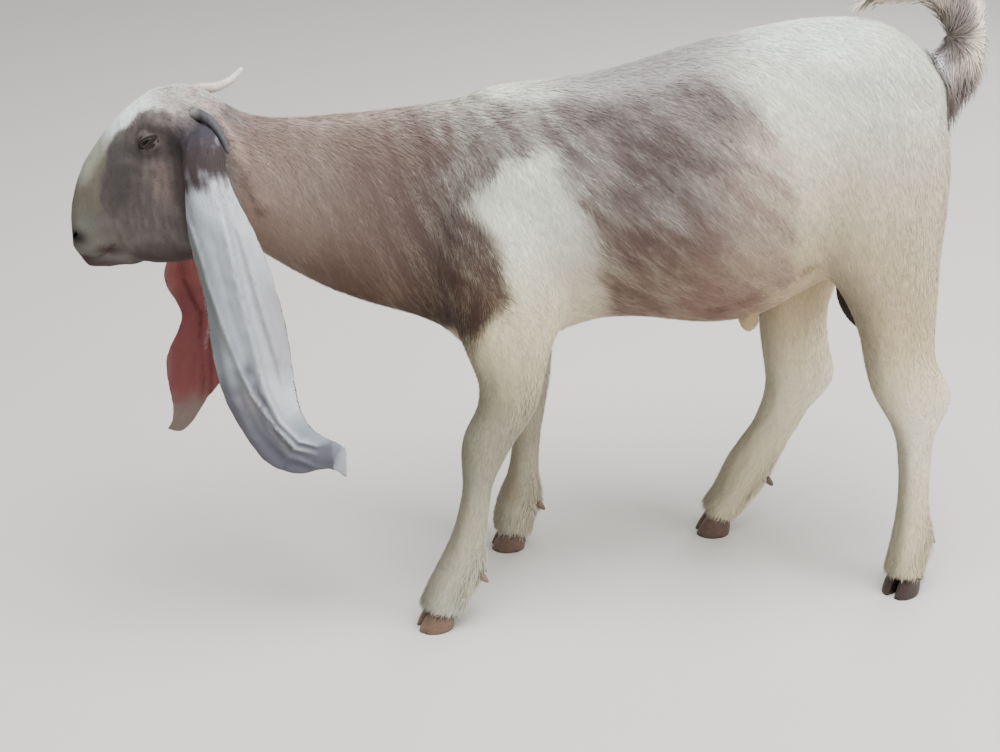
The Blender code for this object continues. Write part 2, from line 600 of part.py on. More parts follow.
def main():
    clear_scene()
    pieces = part_flesh(make_flesh())
    for name in ("trunk", "foreleg_left", "foreleg_right", "hindleg_left", "hindleg_right"):
        paint(pieces[name], "coat_white")
    paint(pieces["head"], "coat_face")
    paint(pieces["neck"], "coat_roan")
    paint(pieces["trunk"], "coat_roan")

    def add(thing, colour, host):
        pieces[thing.name] = thing
        paint(thing, colour)
        if host:
            seat(thing, pieces[host])

    add(make_ear("ear_left", EAR_LEFT, 1), "ear_skin", "head")
    add(make_ear("ear_right", EAR_RIGHT, -1), "ear_skin", "head")
    add(make_horn("horn_left", HORN_LEFT), "horn", "head")
    seat(pieces["horn_left"], pieces["ear_left"])
    add(make_horn("horn_right", HORN_RIGHT), "horn", "head")
    x, y, z = EYE_RIGHT
    add(make_eye("eye_left", (x, -y, z)), "eye", "head")
    add(make_eye("eye_right", (x, y, z)), "eye", "head")
    add(spine_loft("tail", TAIL, steps=2, sides=8), "coat_face", "trunk")
    add(make_drop("sheath", *SHEATH), "coat_white", "trunk")
    add(make_drop("scrotum", *SCROTUM), "dark_skin", "trunk")
    for foot in FEET:
        for word, outside in (("inner", -1), ("outer", 1)):
            side = -1 if foot.endswith("left") else 1
            add(make_claw(f"claw_{word}_{foot}", foot, side * outside), "hoof", foot)
            add(make_dewclaw(f"dewclaw_{word}_{foot}", foot, side * outside), "hoof", foot)
    for thing in pieces.values():
        thing.data.shade_smooth()
        thing.data.set_sharp_from_angle(angle=math.radians(50))
    stand_on_origin(list(pieces.values()))


main()
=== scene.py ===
# %% [markdown]
# # A young Damascus buck, life size
# The solids of the goat are already made and fixed. This lesson dresses them: one skin
# over all the flesh, eyes, horns and claws, and a short coat of solid tufts on top.
# Everything is in metres, in the frame of the solids: the goat looks along -X, its left
# side faces -Y and it stands on z = 0.

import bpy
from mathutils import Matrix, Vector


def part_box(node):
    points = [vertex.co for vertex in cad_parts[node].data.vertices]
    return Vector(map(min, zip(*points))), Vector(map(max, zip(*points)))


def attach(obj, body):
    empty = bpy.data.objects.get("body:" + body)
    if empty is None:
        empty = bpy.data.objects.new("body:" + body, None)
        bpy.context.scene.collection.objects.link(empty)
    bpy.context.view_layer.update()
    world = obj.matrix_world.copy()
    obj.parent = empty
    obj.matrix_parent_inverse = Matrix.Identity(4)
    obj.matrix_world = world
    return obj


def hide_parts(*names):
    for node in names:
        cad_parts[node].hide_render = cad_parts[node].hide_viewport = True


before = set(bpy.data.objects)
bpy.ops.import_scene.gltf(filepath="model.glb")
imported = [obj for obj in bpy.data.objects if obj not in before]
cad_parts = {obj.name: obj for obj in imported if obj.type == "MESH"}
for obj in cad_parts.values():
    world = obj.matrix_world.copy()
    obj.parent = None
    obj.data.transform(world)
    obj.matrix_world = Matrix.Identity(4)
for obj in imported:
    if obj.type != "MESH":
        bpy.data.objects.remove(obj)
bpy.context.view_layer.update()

# %% Tools used all through
import math

import bmesh
import bpy
import numpy as np
from mathutils import Matrix, Vector
from mathutils.bvhtree import BVHTree

MM = 0.001
LEGS = ("foreleg_left", "foreleg_right", "hindleg_left", "hindleg_right")


def link(name, mesh):
    """Put a mesh in the scene as an object at the origin."""
    thing = bpy.data.objects.new(name, mesh)
    bpy.context.scene.collection.objects.link(thing)
    return thing


def bake(thing):
    """Replace an object's mesh by what its modifiers make of it."""
    graph = bpy.context.evaluated_depsgraph_get()
    mesh = bpy.data.meshes.new_from_object(thing.evaluated_get(graph))
    thing.modifiers.clear()
    thing.data = mesh
    return thing


def merged_bmesh(node, grow=0.0):
    """A copy of a solid with its loose triangles merged, its faces standing off by grow."""
    bm = bmesh.new()
    bm.from_mesh(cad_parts[node].data)
    bmesh.ops.remove_doubles(bm, verts=bm.verts, dist=1e-5)
    bm.normal_update()
    moves = [v.normal * (v.calc_shell_factor() * grow) for v in bm.verts]
    for vertex, move in zip(bm.verts, moves):
        vertex.co += move
    return bm


def mesh_of(bm, name):
    mesh = bpy.data.meshes.new(name)
    bm.to_mesh(mesh)
    bm.free()
    return mesh


def read(block, what, width, kind=np.float32):
    """A property of many elements as an array, one row to each."""
    flat = np.zeros(len(block) * width, kind)
    block.foreach_get(what, flat)
    return flat.reshape(-1, width) if width > 1 else flat


def smoothstep(low, high, value):
    t = np.clip((value - low) / (high - low), 0, 1)
    return t * t * (3 - 2 * t)


def unit(rows):
    return rows / np.maximum(np.linalg.norm(rows, axis=-1, keepdims=True), 1e-9)


def store_places(mesh, places):
    mesh.vertices.foreach_set("co", places.astype(np.float32).ravel())
    mesh.update()


def triangulate(thing):
    thing.modifiers.new("Triangles", "TRIANGULATE")
    return bake(thing)


def round_off(thing, levels):
    """Finish a piece with Subdivision Surface and soft shading."""
    rounded = thing.modifiers.new("Rounded", "SUBSURF")
    rounded.levels = levels
    rounded.render_levels = levels
    bake(thing)
    thing.data.shade_smooth()
    return thing


def smooth_copy(node, name, levels):
    """A merged copy of a solid, rounded off."""
    return round_off(link(name, mesh_of(merged_bmesh(node), name)), levels)


def combine(thing, other, operation):
    """Cut other out of a thing or join it on, by a Boolean, which uses other up."""
    modifier = thing.modifiers.new("Combine", "BOOLEAN")
    modifier.operation = operation
    modifier.solver = "MANIFOLD"
    modifier.object = other
    bake(thing)
    bpy.data.objects.remove(other, do_unlink=True)


def cover(thing, material):
    """Give a piece this one material."""
    thing.data.materials.clear()
    thing.data.materials.append(material)


print("tools ready")

# %% [markdown]
# ## Camera, floor and light
# The goat is seen from its left, from above its back. A long lens far off would flatten
# it, so the lens here sees about 32 degrees. The floor is a plain pale disc, much wider than
# the view. The light is a large soft panel overhead, as in the shade of an open shed, with
# two weaker ones: one low at the right, past the goat's rump, and one behind the goat.

# %% Camera
CAMERA_PLACE = Vector((-0.1869, -1.6932, 1.0735))
CAMERA_YAW = math.radians(5.0)
CAMERA_PITCH = math.radians(25.423)
CAMERA_ROLL = math.radians(-1.70)
LENS_MM = 63.0
SENSOR_MM = 36.0


def make_camera():
    data = bpy.data.cameras.new("camera")
    data.lens = LENS_MM
    data.sensor_width = SENSOR_MM
    camera = bpy.data.objects.new("camera", data)
    bpy.context.scene.collection.objects.link(camera)
    level = math.cos(CAMERA_PITCH)
    ahead = Vector((math.sin(CAMERA_YAW) * level, math.cos(CAMERA_YAW) * level,
                    -math.sin(CAMERA_PITCH)))
    right = Vector((math.cos(CAMERA_YAW), -math.sin(CAMERA_YAW), 0.0))
    up = right.cross(ahead)
    cos, sin = math.cos(CAMERA_ROLL), math.sin(CAMERA_ROLL)
    axes = Matrix((right * cos + up * sin, up * cos - right * sin, -ahead)).transposed()
    camera.matrix_world = Matrix.Translation(CAMERA_PLACE) @ axes.to_4x4()
    bpy.context.scene.camera = camera


make_camera()
print("camera", tuple(CAMERA_PLACE))

# %% Floor and light
FLOOR_RADIUS = 14.0
FLOOR_COLOUR = (0.62, 0.605, 0.58, 1.0)
FLOOR_ROUGHNESS = 0.9
WORLD_COLOUR = (1.00, 0.985, 0.96, 1.0)
WORLD_STRENGTH = 0.66
# name: place, aims at, width, watts
PANELS = {
    "overhead": ((0.3, -0.7, 2.9), (0.0, 0.0, 0.4), 2.0, 150.0),
    "low_right": ((2.4, -1.6, 1.2), (0.1, 0.0, 0.30), 1.6, 62.0),
    "behind": ((1.5, 1.9, 1.7), (0.0, 0.0, 0.45), 1.6, 26.0),
}


def make_stage():
    bm = bmesh.new()
    bmesh.ops.create_circle(bm, cap_ends=True, segments=96, radius=FLOOR_RADIUS)
    floor = link("floor", mesh_of(bm, "floor"))
    material = bpy.data.materials.new("floor")
    material.use_nodes = True
    shader = material.node_tree.nodes["Principled BSDF"]
    shader.inputs["Base Color"].default_value = FLOOR_COLOUR
    shader.inputs["Roughness"].default_value = FLOOR_ROUGHNESS
    floor.data.materials.append(material)
    world = bpy.data.worlds.new("soft light")
    world.use_nodes = True
    background = world.node_tree.nodes["Background"]
    background.inputs["Color"].default_value = WORLD_COLOUR
    background.inputs["Strength"].default_value = WORLD_STRENGTH
    bpy.context.scene.world = world
    for name, (place, target, width, watts) in PANELS.items():
        data = bpy.data.lights.new(name, "AREA")
        data.shape = "DISK"
        data.size = width
        data.energy = watts
        lamp = bpy.data.objects.new(name, data)
        lamp.location = place
        lamp.rotation_euler = (Vector(target) - Vector(place)).to_track_quat("-Z", "Y").to_euler()
        bpy.context.scene.collection.objects.link(lamp)


make_stage()
print("floor and", len(PANELS), "lights")

# %% [markdown]
# ## One skin over all the flesh
# On the animal the skin runs without a seam from the muzzle to the tail, and on to the
# ears. The solids are divided there, so their copies are grown until they overlap, and a
# voxel remesh melts them into one body. The fine cells that the head needs would be
# wasted on the belly, so a Decimate modifier thins all but the head. The eyeballs are
# melted in as well, as they push the lids out from behind. The blades of the ears are too
# thin for the cells, so only their roots are melted in, and the blades are joined on later.

# %% Melt the flesh into one body
FLESH = ("head", "neck", "trunk", "tail", "sheath", "ear_left", "ear_right", *LEGS)
SKIN_CELL = 2.0 * MM
OVERLAP = 0.4 * MM
SKIN_FACES = 105000
EAR_STUB_END = 0.528        # height at which the melted root of an ear stops
HEAD_ENDS = -0.315          # behind this the skin may be thinned


def melt_flesh():
    bm = bmesh.new()
    for node in (*FLESH, "eye_left", "eye_right"):
        copy = merged_bmesh(node, OVERLAP)
        if node.startswith("ear"):
            cut_off = bmesh.ops.bisect_plane(copy, geom=[*copy.verts, *copy.edges, *copy.faces],
                                             plane_co=(0, 0, EAR_STUB_END),
                                             plane_no=(0, 0, -1), clear_outer=True)
            rim = [e for e in cut_off["geom_cut"] if isinstance(e, bmesh.types.BMEdge)]
            bmesh.ops.edgeloop_fill(copy, edges=rim)
        bm.from_mesh(mesh_of(copy, node))
    body = link("skin", mesh_of(bm, "skin"))
    remesh = body.modifiers.new("One body", "REMESH")
    remesh.mode = "VOXEL"
    remesh.voxel_size = SKIN_CELL
    soften = body.modifiers.new("Soften", "SMOOTH")
    soften.factor = 0.5
    soften.iterations = 4
    bake(body)
    triangulate(body)
    place = read(body.data.vertices, "co", 3)
    group = body.vertex_groups.new(name="fine")
    group.add(np.nonzero(place[:, 0] < HEAD_ENDS)[0].tolist(), 1.0, "REPLACE")
    thin = body.modifiers.new("Thin", "DECIMATE")
    thin.ratio = SKIN_FACES / len(body.data.polygons)
    thin.vertex_group = "fine"
    thin.invert_vertex_group = True
    thin.vertex_group_factor = 2.0
    return bake(body)


skin = melt_flesh()
print("skin:", len(skin.data.polygons), "faces")


# %% Which part each point of the skin belongs to
PARTS = {name: i for i, name in enumerate((*FLESH, "eye_left", "eye_right"))}


def part_tree():
    """One search tree over all the solids, and the part that each of its faces is of."""
    points, faces, owners = [], [], []
    for name, index in PARTS.items():
        bm = merged_bmesh(name)
        start = len(points)
        points += [v.co.copy() for v in bm.verts]
        faces += [[start + v.index for v in f.verts] for f in bm.faces]
        owners += [index] * len(bm.faces)
        bm.free()
    return BVHTree.FromPolygons(points, faces), np.array(owners)


part_search, part_owner = part_tree()


def parts_at(points):
    return part_owner[[part_search.find_nearest(p)[2] for p in points.tolist()]]


print("parts:", ", ".join(PARTS))


# %% The skin as arrays
class Surface:
    """Points, triangles, edges and normals of a mesh, with the means to spread a value."""

    def __init__(self, mesh):
        self.place = read(mesh.vertices, "co", 3).astype(float)
        self.faces = read(mesh.polygons, "vertices", 3, np.int32)
        self.edges = read(mesh.edges, "vertices", 2, np.int32)
        self.count = len(self.place)
        self.neighbours = np.bincount(self.edges.ravel(), minlength=self.count)
        self.refresh()

    def refresh(self):
        a, b, c = (self.place[self.faces[:, i]] for i in range(3))
        across = np.cross(b - a, c - a)
        self.area = np.linalg.norm(across, axis=1) / 2
        total = np.zeros((self.count, 3))
        for axis in range(3):
            for corner in range(3):
                total[:, axis] += np.bincount(self.faces[:, corner], across[:, axis],
                                              self.count)
        self.normal = unit(total)

    def spread(self, value, rounds):
        """Average a value with its neighbours, rounds times."""
        value = np.array(value, float)
        columns = value.reshape(self.count, -1)
        first, second = self.edges.T
        for _ in range(rounds):
            for k in range(columns.shape[1]):
                total = np.bincount(first, columns[second, k], self.count)
                total += np.bincount(second, columns[first, k], self.count)
                columns[:, k] = (columns[:, k] + total / self.neighbours) / 2
        return columns.reshape(value.shape)


surface = Surface(skin.data)
part = parts_at(surface.place)
print("skin points by part:", {n: int((part == i).sum()) for n, i in PARTS.items()})

# %% [markdown]
# ## Room for the coat
# The solids reach to the tips of the hair, so the skin lies inside them by the coat's
# depth: least on the ears and the face, most on the tail. Only the lids come out a
# little, as they lie on the eyeballs. The depth is spread over the surface first, so that
# no step shows where two parts meet.

# %% Sink the skin
COAT_DEPTH = {"head": 1.2, "neck": 2.2, "trunk": 2.2, "tail": 8.0, "sheath": 1.5,
              "ear_left": 0.7, "ear_right": 0.7, "eye_left": -0.9, "eye_right": -0.9,
              "foreleg_left": 1.5, "foreleg_right": 1.5, "hindleg_left": 1.5,
              "hindleg_right": 1.5}
EYES = {side: (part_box("eye_" + side)[0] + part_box("eye_" + side)[1]) / 2
        for side in ("left", "right")}
EYE_RADIUS = (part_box("eye_left")[1].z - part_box("eye_left")[0].z) / 2
UPPER_LEG_EXTRA = 0.6 * MM      # a leg's coat gets deeper above the knee
BODY_STARTS = -0.30             # from here back the last facets are smoothed away


def sink_skin():
    depth = np.array([COAT_DEPTH[name] * MM for name in PARTS])[part]
    high = smoothstep(0.30, 0.42, surface.place[:, 2])
    legs = np.isin(part, [PARTS[leg] for leg in LEGS])
    depth = np.where(legs, depth + UPPER_LEG_EXTRA * high, depth)
    depth = surface.spread(depth, 14)
    normal = unit(surface.spread(surface.normal, 6))
    surface.place -= normal * depth[:, None]
    surface.refresh()
    surface.place = np.where(surface.place[:, :1] > BODY_STARTS,
                             surface.spread(surface.place, 8), surface.place)
    store_places(skin.data, surface.place)


sink_skin()
print("eye radius", round(EYE_RADIUS / MM, 2), "mm")

# %% [markdown]
# ## The face
# The head is where a model is judged. It gets smaller faces where there is small form: at the
# eyes, the nostrils and the mouth. The bones and hollows are pushed out and in with soft
# round dabs. The openings of the lids and the nostrils have crisp edges, which a dab can't
# give, so these are cut with Booleans.

# %% Finer faces at the eyes and the muzzle
NOSTRILS = {side: Vector((-0.4610, sign * 0.0135, 0.4610))
            for side, sign in (("left", -1), ("right", 1))}
# place, radius: each row halves the edges inside its ball
FINE_SPOTS = (
    [(EYES[side], 0.024) for side in EYES] + [(EYES[side], 0.017) for side in EYES]
    + [(Vector((-0.454, 0.0, 0.446)), 0.027), (NOSTRILS["left"], 0.011),
       (NOSTRILS["right"], 0.011)]
)


def refine(thing, spots):
    bm = bmesh.new()
    bm.from_mesh(thing.data)
    for centre, radius in spots:
        edges = [e for e in bm.edges
                 if all((v.co - centre).length < radius for v in e.verts)]
        bmesh.ops.subdivide_edges(bm, edges=edges, cuts=1, use_grid_fill=False)
        bmesh.ops.triangulate(bm, faces=[f for f in bm.faces if len(f.verts) > 3])
    bm.to_mesh(thing.data)
    bm.free()


refine(skin, FINE_SPOTS)
surface = Surface(skin.data)
print("after refining:", len(surface.faces), "faces")

# %% Axes of each eye
# Outwards from the eyeball, towards the nose along the slit, and towards the brow.
EYE_OUT = Vector((-0.30, 1.0, 0.16))
EYE_NOSE = Vector((-0.86, 0.0, -0.50))


def eye_axes(side):
    sign = -1 if side == "left" else 1
    out = Vector((EYE_OUT.x, sign * EYE_OUT.y, EYE_OUT.z)).normalized()
    nose = (EYE_NOSE - out * EYE_NOSE.dot(out)).normalized()
    brow = out.cross(nose)
    if brow.z < 0:
        brow.negate()
    return out, nose, brow


def from_eye(side, points):
    """Where points lie from an eyeball's middle: towards the nose, the brow, outwards."""
    offset = points - np.array(EYES[side])
    out, nose, brow = (np.array(a) for a in eye_axes(side))
    return offset @ nose, offset @ brow, offset @ out


print({side: [tuple(round(c, 2) for c in a) for a in eye_axes(side)] for side in EYES})

# %% Dabs: soft pushes, out or in
# name: place (x, y, z) in metres on the left side, reach along, across and up in mm,
# height in mm; the right side gets the same
DABS = {
    "brow bone": ((-0.3750, -0.0400, 0.5780), (15, 8, 6), 2.4),
    "hollow above the eye": ((-0.3560, -0.0420, 0.5700), (8, 8, 7), -0.9),
    "tear pit": ((-0.3960, -0.0360, 0.5470), (6, 8, 4), -1.3),
    "cheek bone": ((-0.3860, -0.0400, 0.5360), (16, 10, 4.5), 1.6),
    "below the cheek bone": ((-0.4100, -0.0330, 0.5060), (14, 10, 12), -2.2),
    "jaw muscle": ((-0.3450, -0.0420, 0.4900), (20, 14, 24), 2.2),
    "edge of the jaw": ((-0.3650, -0.0300, 0.4330), (30, 12, 5), 1.2),
    "hollow of the throat": ((-0.3300, -0.0300, 0.4500), (10, 16, 16), -2.4),
    "nose bone": ((-0.4440, -0.0120, 0.5150), (22, 6, 22), 0.9),
    "side of the nose": ((-0.4450, -0.0240, 0.4860), (12, 8, 14), -1.6),
    "wing of the nostril": ((-0.4545, -0.0200, 0.4680), (5, 5, 5.5), 1.6),
    "upper lip": ((-0.4520, -0.0190, 0.4470), (9, 8, 5), 1.5),
    "lower lip": ((-0.4460, -0.0140, 0.4300), (10, 9, 4), 1.2),
    "base of the horn": ((-0.3330, -0.0240, 0.5850), (9, 9, 7), 3.0),
    "behind the chin": ((-0.4080, -0.0060, 0.4240), (11, 13, 6), 3.0),
}


def dab(place, reach, height):
    place, reach = np.array(place), np.array(reach) * MM
    for mirror in (1.0, -1.0):
        away = (surface.place - place * np.array((1.0, mirror, 1.0))) / reach
        push = np.exp(-0.5 * (away**2).sum(axis=1)) * height * MM
        surface.place += surface.normal * push[:, None]


for name, (place, reach, height) in DABS.items():
    dab(place, reach, height)
surface.refresh()
print(len(DABS), "dabs on the face")

# %% Grooves: the mouth, the split lip and the folds of the lids
# name: points (x, y, z) on the left side, half width in mm, depth in mm
GROOVES = {
    "mouth": ([(-0.4640, 0.0, 0.4380), (-0.4610, -0.0090, 0.4372),
               (-0.4520, -0.0170, 0.4368), (-0.4410, -0.0215, 0.4385),
               (-0.4310, -0.0245, 0.4440), (-0.4235, -0.0265, 0.4530)], 1.1, 2.2),
    "split of the lip": ([(-0.4670, 0.0, 0.4600), (-0.4660, 0.0, 0.4480),
                          (-0.4640, 0.0, 0.4390)], 1.0, 1.4),
}


# height over the slit, bow (per metre), depth and half width in mm: upper lid, lower lid
LID_FOLDS = ((7.4, 30.0, 1.0, 1.3), (-7.0, 26.0, 0.6, 1.5))
LID_FOLD_REACH = 8.5 * MM


def gap_to_line(points, line):
    """How far each point is from a line through a few places."""
    line = np.array(line, float)
    gap = np.full(len(points), 1e9)
    for a, b in zip(line, line[1:]):
        d = b - a
        t = np.clip(((points - a) @ d) / (d @ d), 0, 1)
        gap = np.minimum(gap, np.linalg.norm(points - a - t[:, None] * d, axis=1))
    return gap


def groove(points, half_width, depth):
    for mirror in (1.0, -1.0):
        line = np.array(points) * np.array((1.0, mirror, 1.0))
        gap = gap_to_line(surface.place, line)
        push = np.exp(-0.5 * (gap / (half_width * MM))**2) * depth * MM
        surface.place -= surface.normal * push[:, None]


def lid_folds():
    """A crease over each upper lid and a fainter one under the lower lid."""
    for side in EYES:
        along, up, ahead = from_eye(side, surface.place)
        for level, bow, depth, width in LID_FOLDS:
            line = level * MM - np.sign(level) * bow * along**2
            push = np.exp(-0.5 * ((up - line) / (width * MM))**2)
            push *= np.exp(-0.5 * (along / LID_FOLD_REACH)**2) * depth * MM * (ahead > 0)
            surface.place -= surface.normal * push[:, None]


for name, (points, half_width, depth) in GROOVES.items():
    groove(points, half_width, depth)
lid_folds()
surface.refresh()
store_places(skin.data, surface.place)
print(len(GROOVES), "grooves,", 2 * len(LID_FOLDS), "lid folds")

# %% Openings of the lids and the nostrils
SLIT_HALF_LENGTH = 8.8 * MM
UPPER_LID_OPEN = 2.3 * MM
LOWER_LID_OPEN = 1.9 * MM
LID_SHARPNESS = 1.25            # above 1, the corners of the eye are drawn out
SLIT_LEAN = 0.6 * MM            # the corner at the nose lies this much lower
NOSTRIL_HALF = (8.6 * MM, 5.4 * MM, 2.6 * MM)      # half its length, depth and height
NOSTRIL_BEND = 32.0             # how much the bean curls, per metre
NOSTRIL_TURN = (28, -42)        # degrees about Z and Y
NOSTRIL_SHIFT = (0.5 * MM, 2.5 * MM)               # back and outwards


def almond(count=36):
    """The opening between the lids, as (towards the nose, towards the brow)."""
    points = []
    for i in range(count):
        angle = math.tau * i / count
        along = math.cos(angle)
        swell = math.sin(angle)
        open_by = UPPER_LID_OPEN if swell > 0 else LOWER_LID_OPEN
        up = open_by * abs(swell)**LID_SHARPNESS * math.copysign(1, swell)
        points.append((SLIT_HALF_LENGTH * along, up - SLIT_LEAN * along))
    return points


def lid_cutter(side):
    """A bar with an almond section, from inside the eyeball to outside the head."""
    out, nose, brow = eye_axes(side)
    centre = EYES[side]
    bm = bmesh.new()
    ring = [bm.verts.new(centre + nose * a + brow * b + out * (EYE_RADIUS * 0.25))
            for a, b in almond()]
    face = bm.faces.new(ring)
    grown = bmesh.ops.extrude_face_region(bm, geom=[face])
    far = [v for v in grown["geom"] if isinstance(v, bmesh.types.BMVert)]
    bmesh.ops.translate(bm, vec=out * (EYE_RADIUS * 1.4), verts=far)
    bmesh.ops.recalc_face_normals(bm, faces=bm.faces)
    return link("lid_cutter", mesh_of(bm, "lid_cutter"))


def nostril_cutter(side):
    """A bent bean that leans back and up, as a goat's nostril does."""
    sign = -1 if side == "left" else 1
    bm = bmesh.new()
    bmesh.ops.create_icosphere(bm, subdivisions=3, radius=1.0)
    bmesh.ops.scale(bm, vec=NOSTRIL_HALF, verts=bm.verts)
    for vertex in bm.verts:
        vertex.co.z += NOSTRIL_BEND * vertex.co.x**2
    turn = (Matrix.Rotation(math.radians(sign * NOSTRIL_TURN[0]), 3, "Z")
            @ Matrix.Rotation(math.radians(NOSTRIL_TURN[1]), 3, "Y"))
    bmesh.ops.rotate(bm, cent=(0, 0, 0), matrix=turn, verts=bm.verts)
    shift = Vector((NOSTRIL_SHIFT[0], sign * NOSTRIL_SHIFT[1], 0.0))
    bmesh.ops.translate(bm, vec=NOSTRILS[side] + shift, verts=bm.verts)
    return link("nostril_cutter", mesh_of(bm, "nostril_cutter"))


for side in EYES:
    combine(skin, lid_cutter(side), "DIFFERENCE")
    combine(skin, nostril_cutter(side), "DIFFERENCE")
triangulate(skin)
surface = Surface(skin.data)
part = parts_at(surface.place)
print("skin with openings:", len(surface.faces), "faces")

# %% [markdown]
# ## The ears
# A Damascus goat's ear hangs below its jaw, a thin blade with a few long ridges where
# the gristle and the veins run. The ridges follow the ear's length, so each point of an ear
# first gets two numbers: how far it is along the ear and how far across. The ridges are then
# a matter of a few soft bumps across.

# %% Along and across each ear
# root to tip: the middle of the blade (x, y, z)
EAR_LINES = {
    "left": [(-0.3245, -0.0420, 0.5720), (-0.3235, -0.0594, 0.5580), (-0.3210, -0.0720, 0.5335),
             (-0.3165, -0.0790, 0.5040), (-0.3090, -0.0830, 0.4660), (-0.3020, -0.0850, 0.4165),
             (-0.2955, -0.0860, 0.3625), (-0.2910, -0.0870, 0.3115), (-0.2805, -0.0890, 0.2730),
             (-0.2625, -0.0930, 0.2435), (-0.2370, -0.0970, 0.2335), (-0.2185, -0.1034, 0.2365),
             (-0.2075, -0.1094, 0.2305)],
    "right": [(-0.327, 0.038, 0.574), (-0.327, 0.056, 0.560), (-0.328, 0.068, 0.536),
              (-0.331, 0.075, 0.502), (-0.338, 0.078, 0.458), (-0.345, 0.078, 0.412),
              (-0.354, 0.080, 0.372), (-0.346, 0.080, 0.330), (-0.361, 0.080, 0.289),
              (-0.367, 0.079, 0.250), (-0.374, 0.078, 0.220), (-0.386, 0.078, 0.198),
              (-0.400, 0.079, 0.188)],
}
EAR_HALF_WIDTH = 0.040


def ear_coordinates(side, points):
    """How far along the ear (0 root, 1 tip) and across it (-1 front, 1 rear)."""
    line = np.array(EAR_LINES[side])
    step = np.linalg.norm(np.diff(line, axis=0), axis=1)
    start = np.concatenate(([0.0], np.cumsum(step)))
    best = np.full(len(points), 1e9)
    along = np.zeros(len(points))
    across = np.zeros(len(points))
    for i, (a, b) in enumerate(zip(line, line[1:])):
        d = b - a
        t = np.clip(((points - a) @ d) / (d @ d), 0, 1)
        offset = points - a - t[:, None] * d
        gap = np.linalg.norm(offset, axis=1)
        rearward = np.cross(d / step[i], (0.0, 1.0, 0.0))
        closer = gap < best
        best = np.where(closer, gap, best)
        along = np.where(closer, (start[i] + t * step[i]) / start[-1], along)
        across = np.where(closer, (offset @ rearward) / EAR_HALF_WIDTH, across)
    return along, across


# name: (along, across) of a few points, half width in mm, height in mm
EAR_RIDGES = {
    "front ridge": ([(0.20, -0.66), (0.38, -0.62), (0.50, -0.50), (0.60, -0.34), (0.68, -0.14),
                     (0.76, 0.06), (0.84, 0.14)], 1.7, 3.8),
    "main ridge": ([(0.20, 0.16), (0.34, 0.08), (0.45, 0.08), (0.56, 0.11), (0.66, 0.17),
                    (0.74, 0.22), (0.86, 0.36)], 2.0, 4.0),
    "rear vein": ([(0.24, 0.40), (0.45, 0.50), (0.60, 0.62)], 1.5, 1.4),
    "rolled front edge": ([(0.18, -0.98), (0.50, -0.92), (0.75, -0.85)], 4.0, -4.5),
    "hollow between": ([(0.24, -0.26), (0.45, -0.30), (0.60, -0.14), (0.72, 0.04)], 4.4, -4.0),
    "hollow behind": ([(0.26, 0.28), (0.45, 0.32), (0.62, 0.50)], 2.8, -2.2),
    "hollow of the rear edge": ([(0.22, 0.70), (0.60, 0.86)], 4.0, -2.0),
    "low hollow": ([(0.62, -0.60), (0.76, -0.40), (0.88, -0.30)], 5.5, -3.2),
    "low fold": ([(0.74, -0.14), (0.86, -0.12), (0.94, -0.30)], 2.0, 2.0),
}
BLADE_INSET = 0.35 * MM      # the skin of an ear lies this deep in its velvet
ROOT_INSET = 1.6 * MM        # and its root hides this deep in the melted stub
BLADE_SHARE = 0.55           # of the faces of a rounded blade that are kept
RIPPLE_HEIGHT = 1.3 * MM     # of the waves of the rear edge


def ridge_share(ridge, along, across, beside, half_width):
    """1 on a line that runs beside a ridge (millimetres to the rear), 0 away from it."""
    stations, middles = zip(*EAR_RIDGES[ridge][0])
    gap = (across - np.interp(along, stations, middles)) * EAR_HALF_WIDTH - beside * MM
    reach = (1 - smoothstep(stations[-1], stations[-1] + 0.10, along))
    reach *= smoothstep(stations[0] - 0.06, stations[0] + 0.04, along)
    return np.exp(-0.5 * (gap / (half_width * MM))**2) * reach


def make_ear_blade(side):
    """An ear of its own, with ridges and a rippled rear edge, both faces moved alike."""
    node = "ear_" + side
    blade = smooth_copy(node, node + "_blade", 3)
    mesh = blade.data
    places = read(mesh.vertices, "co", 3).astype(float)
    normals = read(mesh.vertices, "normal", 3).astype(float)
    along, across = ear_coordinates(side, places)
    inset = ROOT_INSET + (BLADE_INSET - ROOT_INSET) * smoothstep(0.13, 0.20, along)
    places -= normals * inset[:, None]
    fade = smoothstep(0.16, 0.26, along) * (1 - smoothstep(0.92, 1.0, along))
    push = np.zeros(len(places))
    for ridge, (_, half_width, height) in EAR_RIDGES.items():
        push += height * MM * ridge_share(ridge, along, across, 0.0, half_width)
    ripple = np.sin(along * 33.0) + 0.5 * np.sin(along * 61.0 + 1.0)
    push += RIPPLE_HEIGHT * ripple * smoothstep(0.55, 1.0, across)
    places[:, 1] += push * fade * (-1 if side == "left" else 1)
    store_places(mesh, places)
    fewer = blade.modifiers.new("Fewer", "DECIMATE")
    fewer.ratio = BLADE_SHARE
    return bake(blade)


def largest_body(thing):
    """Drop all but the largest loose body of a mesh."""
    bm = bmesh.new()
    bm.from_mesh(thing.data)
    left = set(bm.verts)
    bodies = []
    while left:
        stack = [next(iter(left))]
        body = set(stack)
        while stack:
            for edge in stack.pop().link_edges:
                for vertex in edge.verts:
                    if vertex not in body:
                        body.add(vertex)
                        stack.append(vertex)
        bodies.append(body)
        left -= body
    bodies.sort(key=len)
    for body in bodies[:-1]:
        bmesh.ops.delete(bm, geom=list(body), context="VERTS")
    open_edges = sum(not e.is_manifold for e in bm.edges)
    bm.to_mesh(thing.data)
    bm.free()
    print(len(bodies), "bodies, one kept;", open_edges, "open edges")


for side in EYES:
    combine(skin, make_ear_blade(side), "UNION")
triangulate(skin)
largest_body(skin)
surface = Surface(skin.data)
part = parts_at(surface.place)
print("skin with ears:", len(surface.faces), "faces")


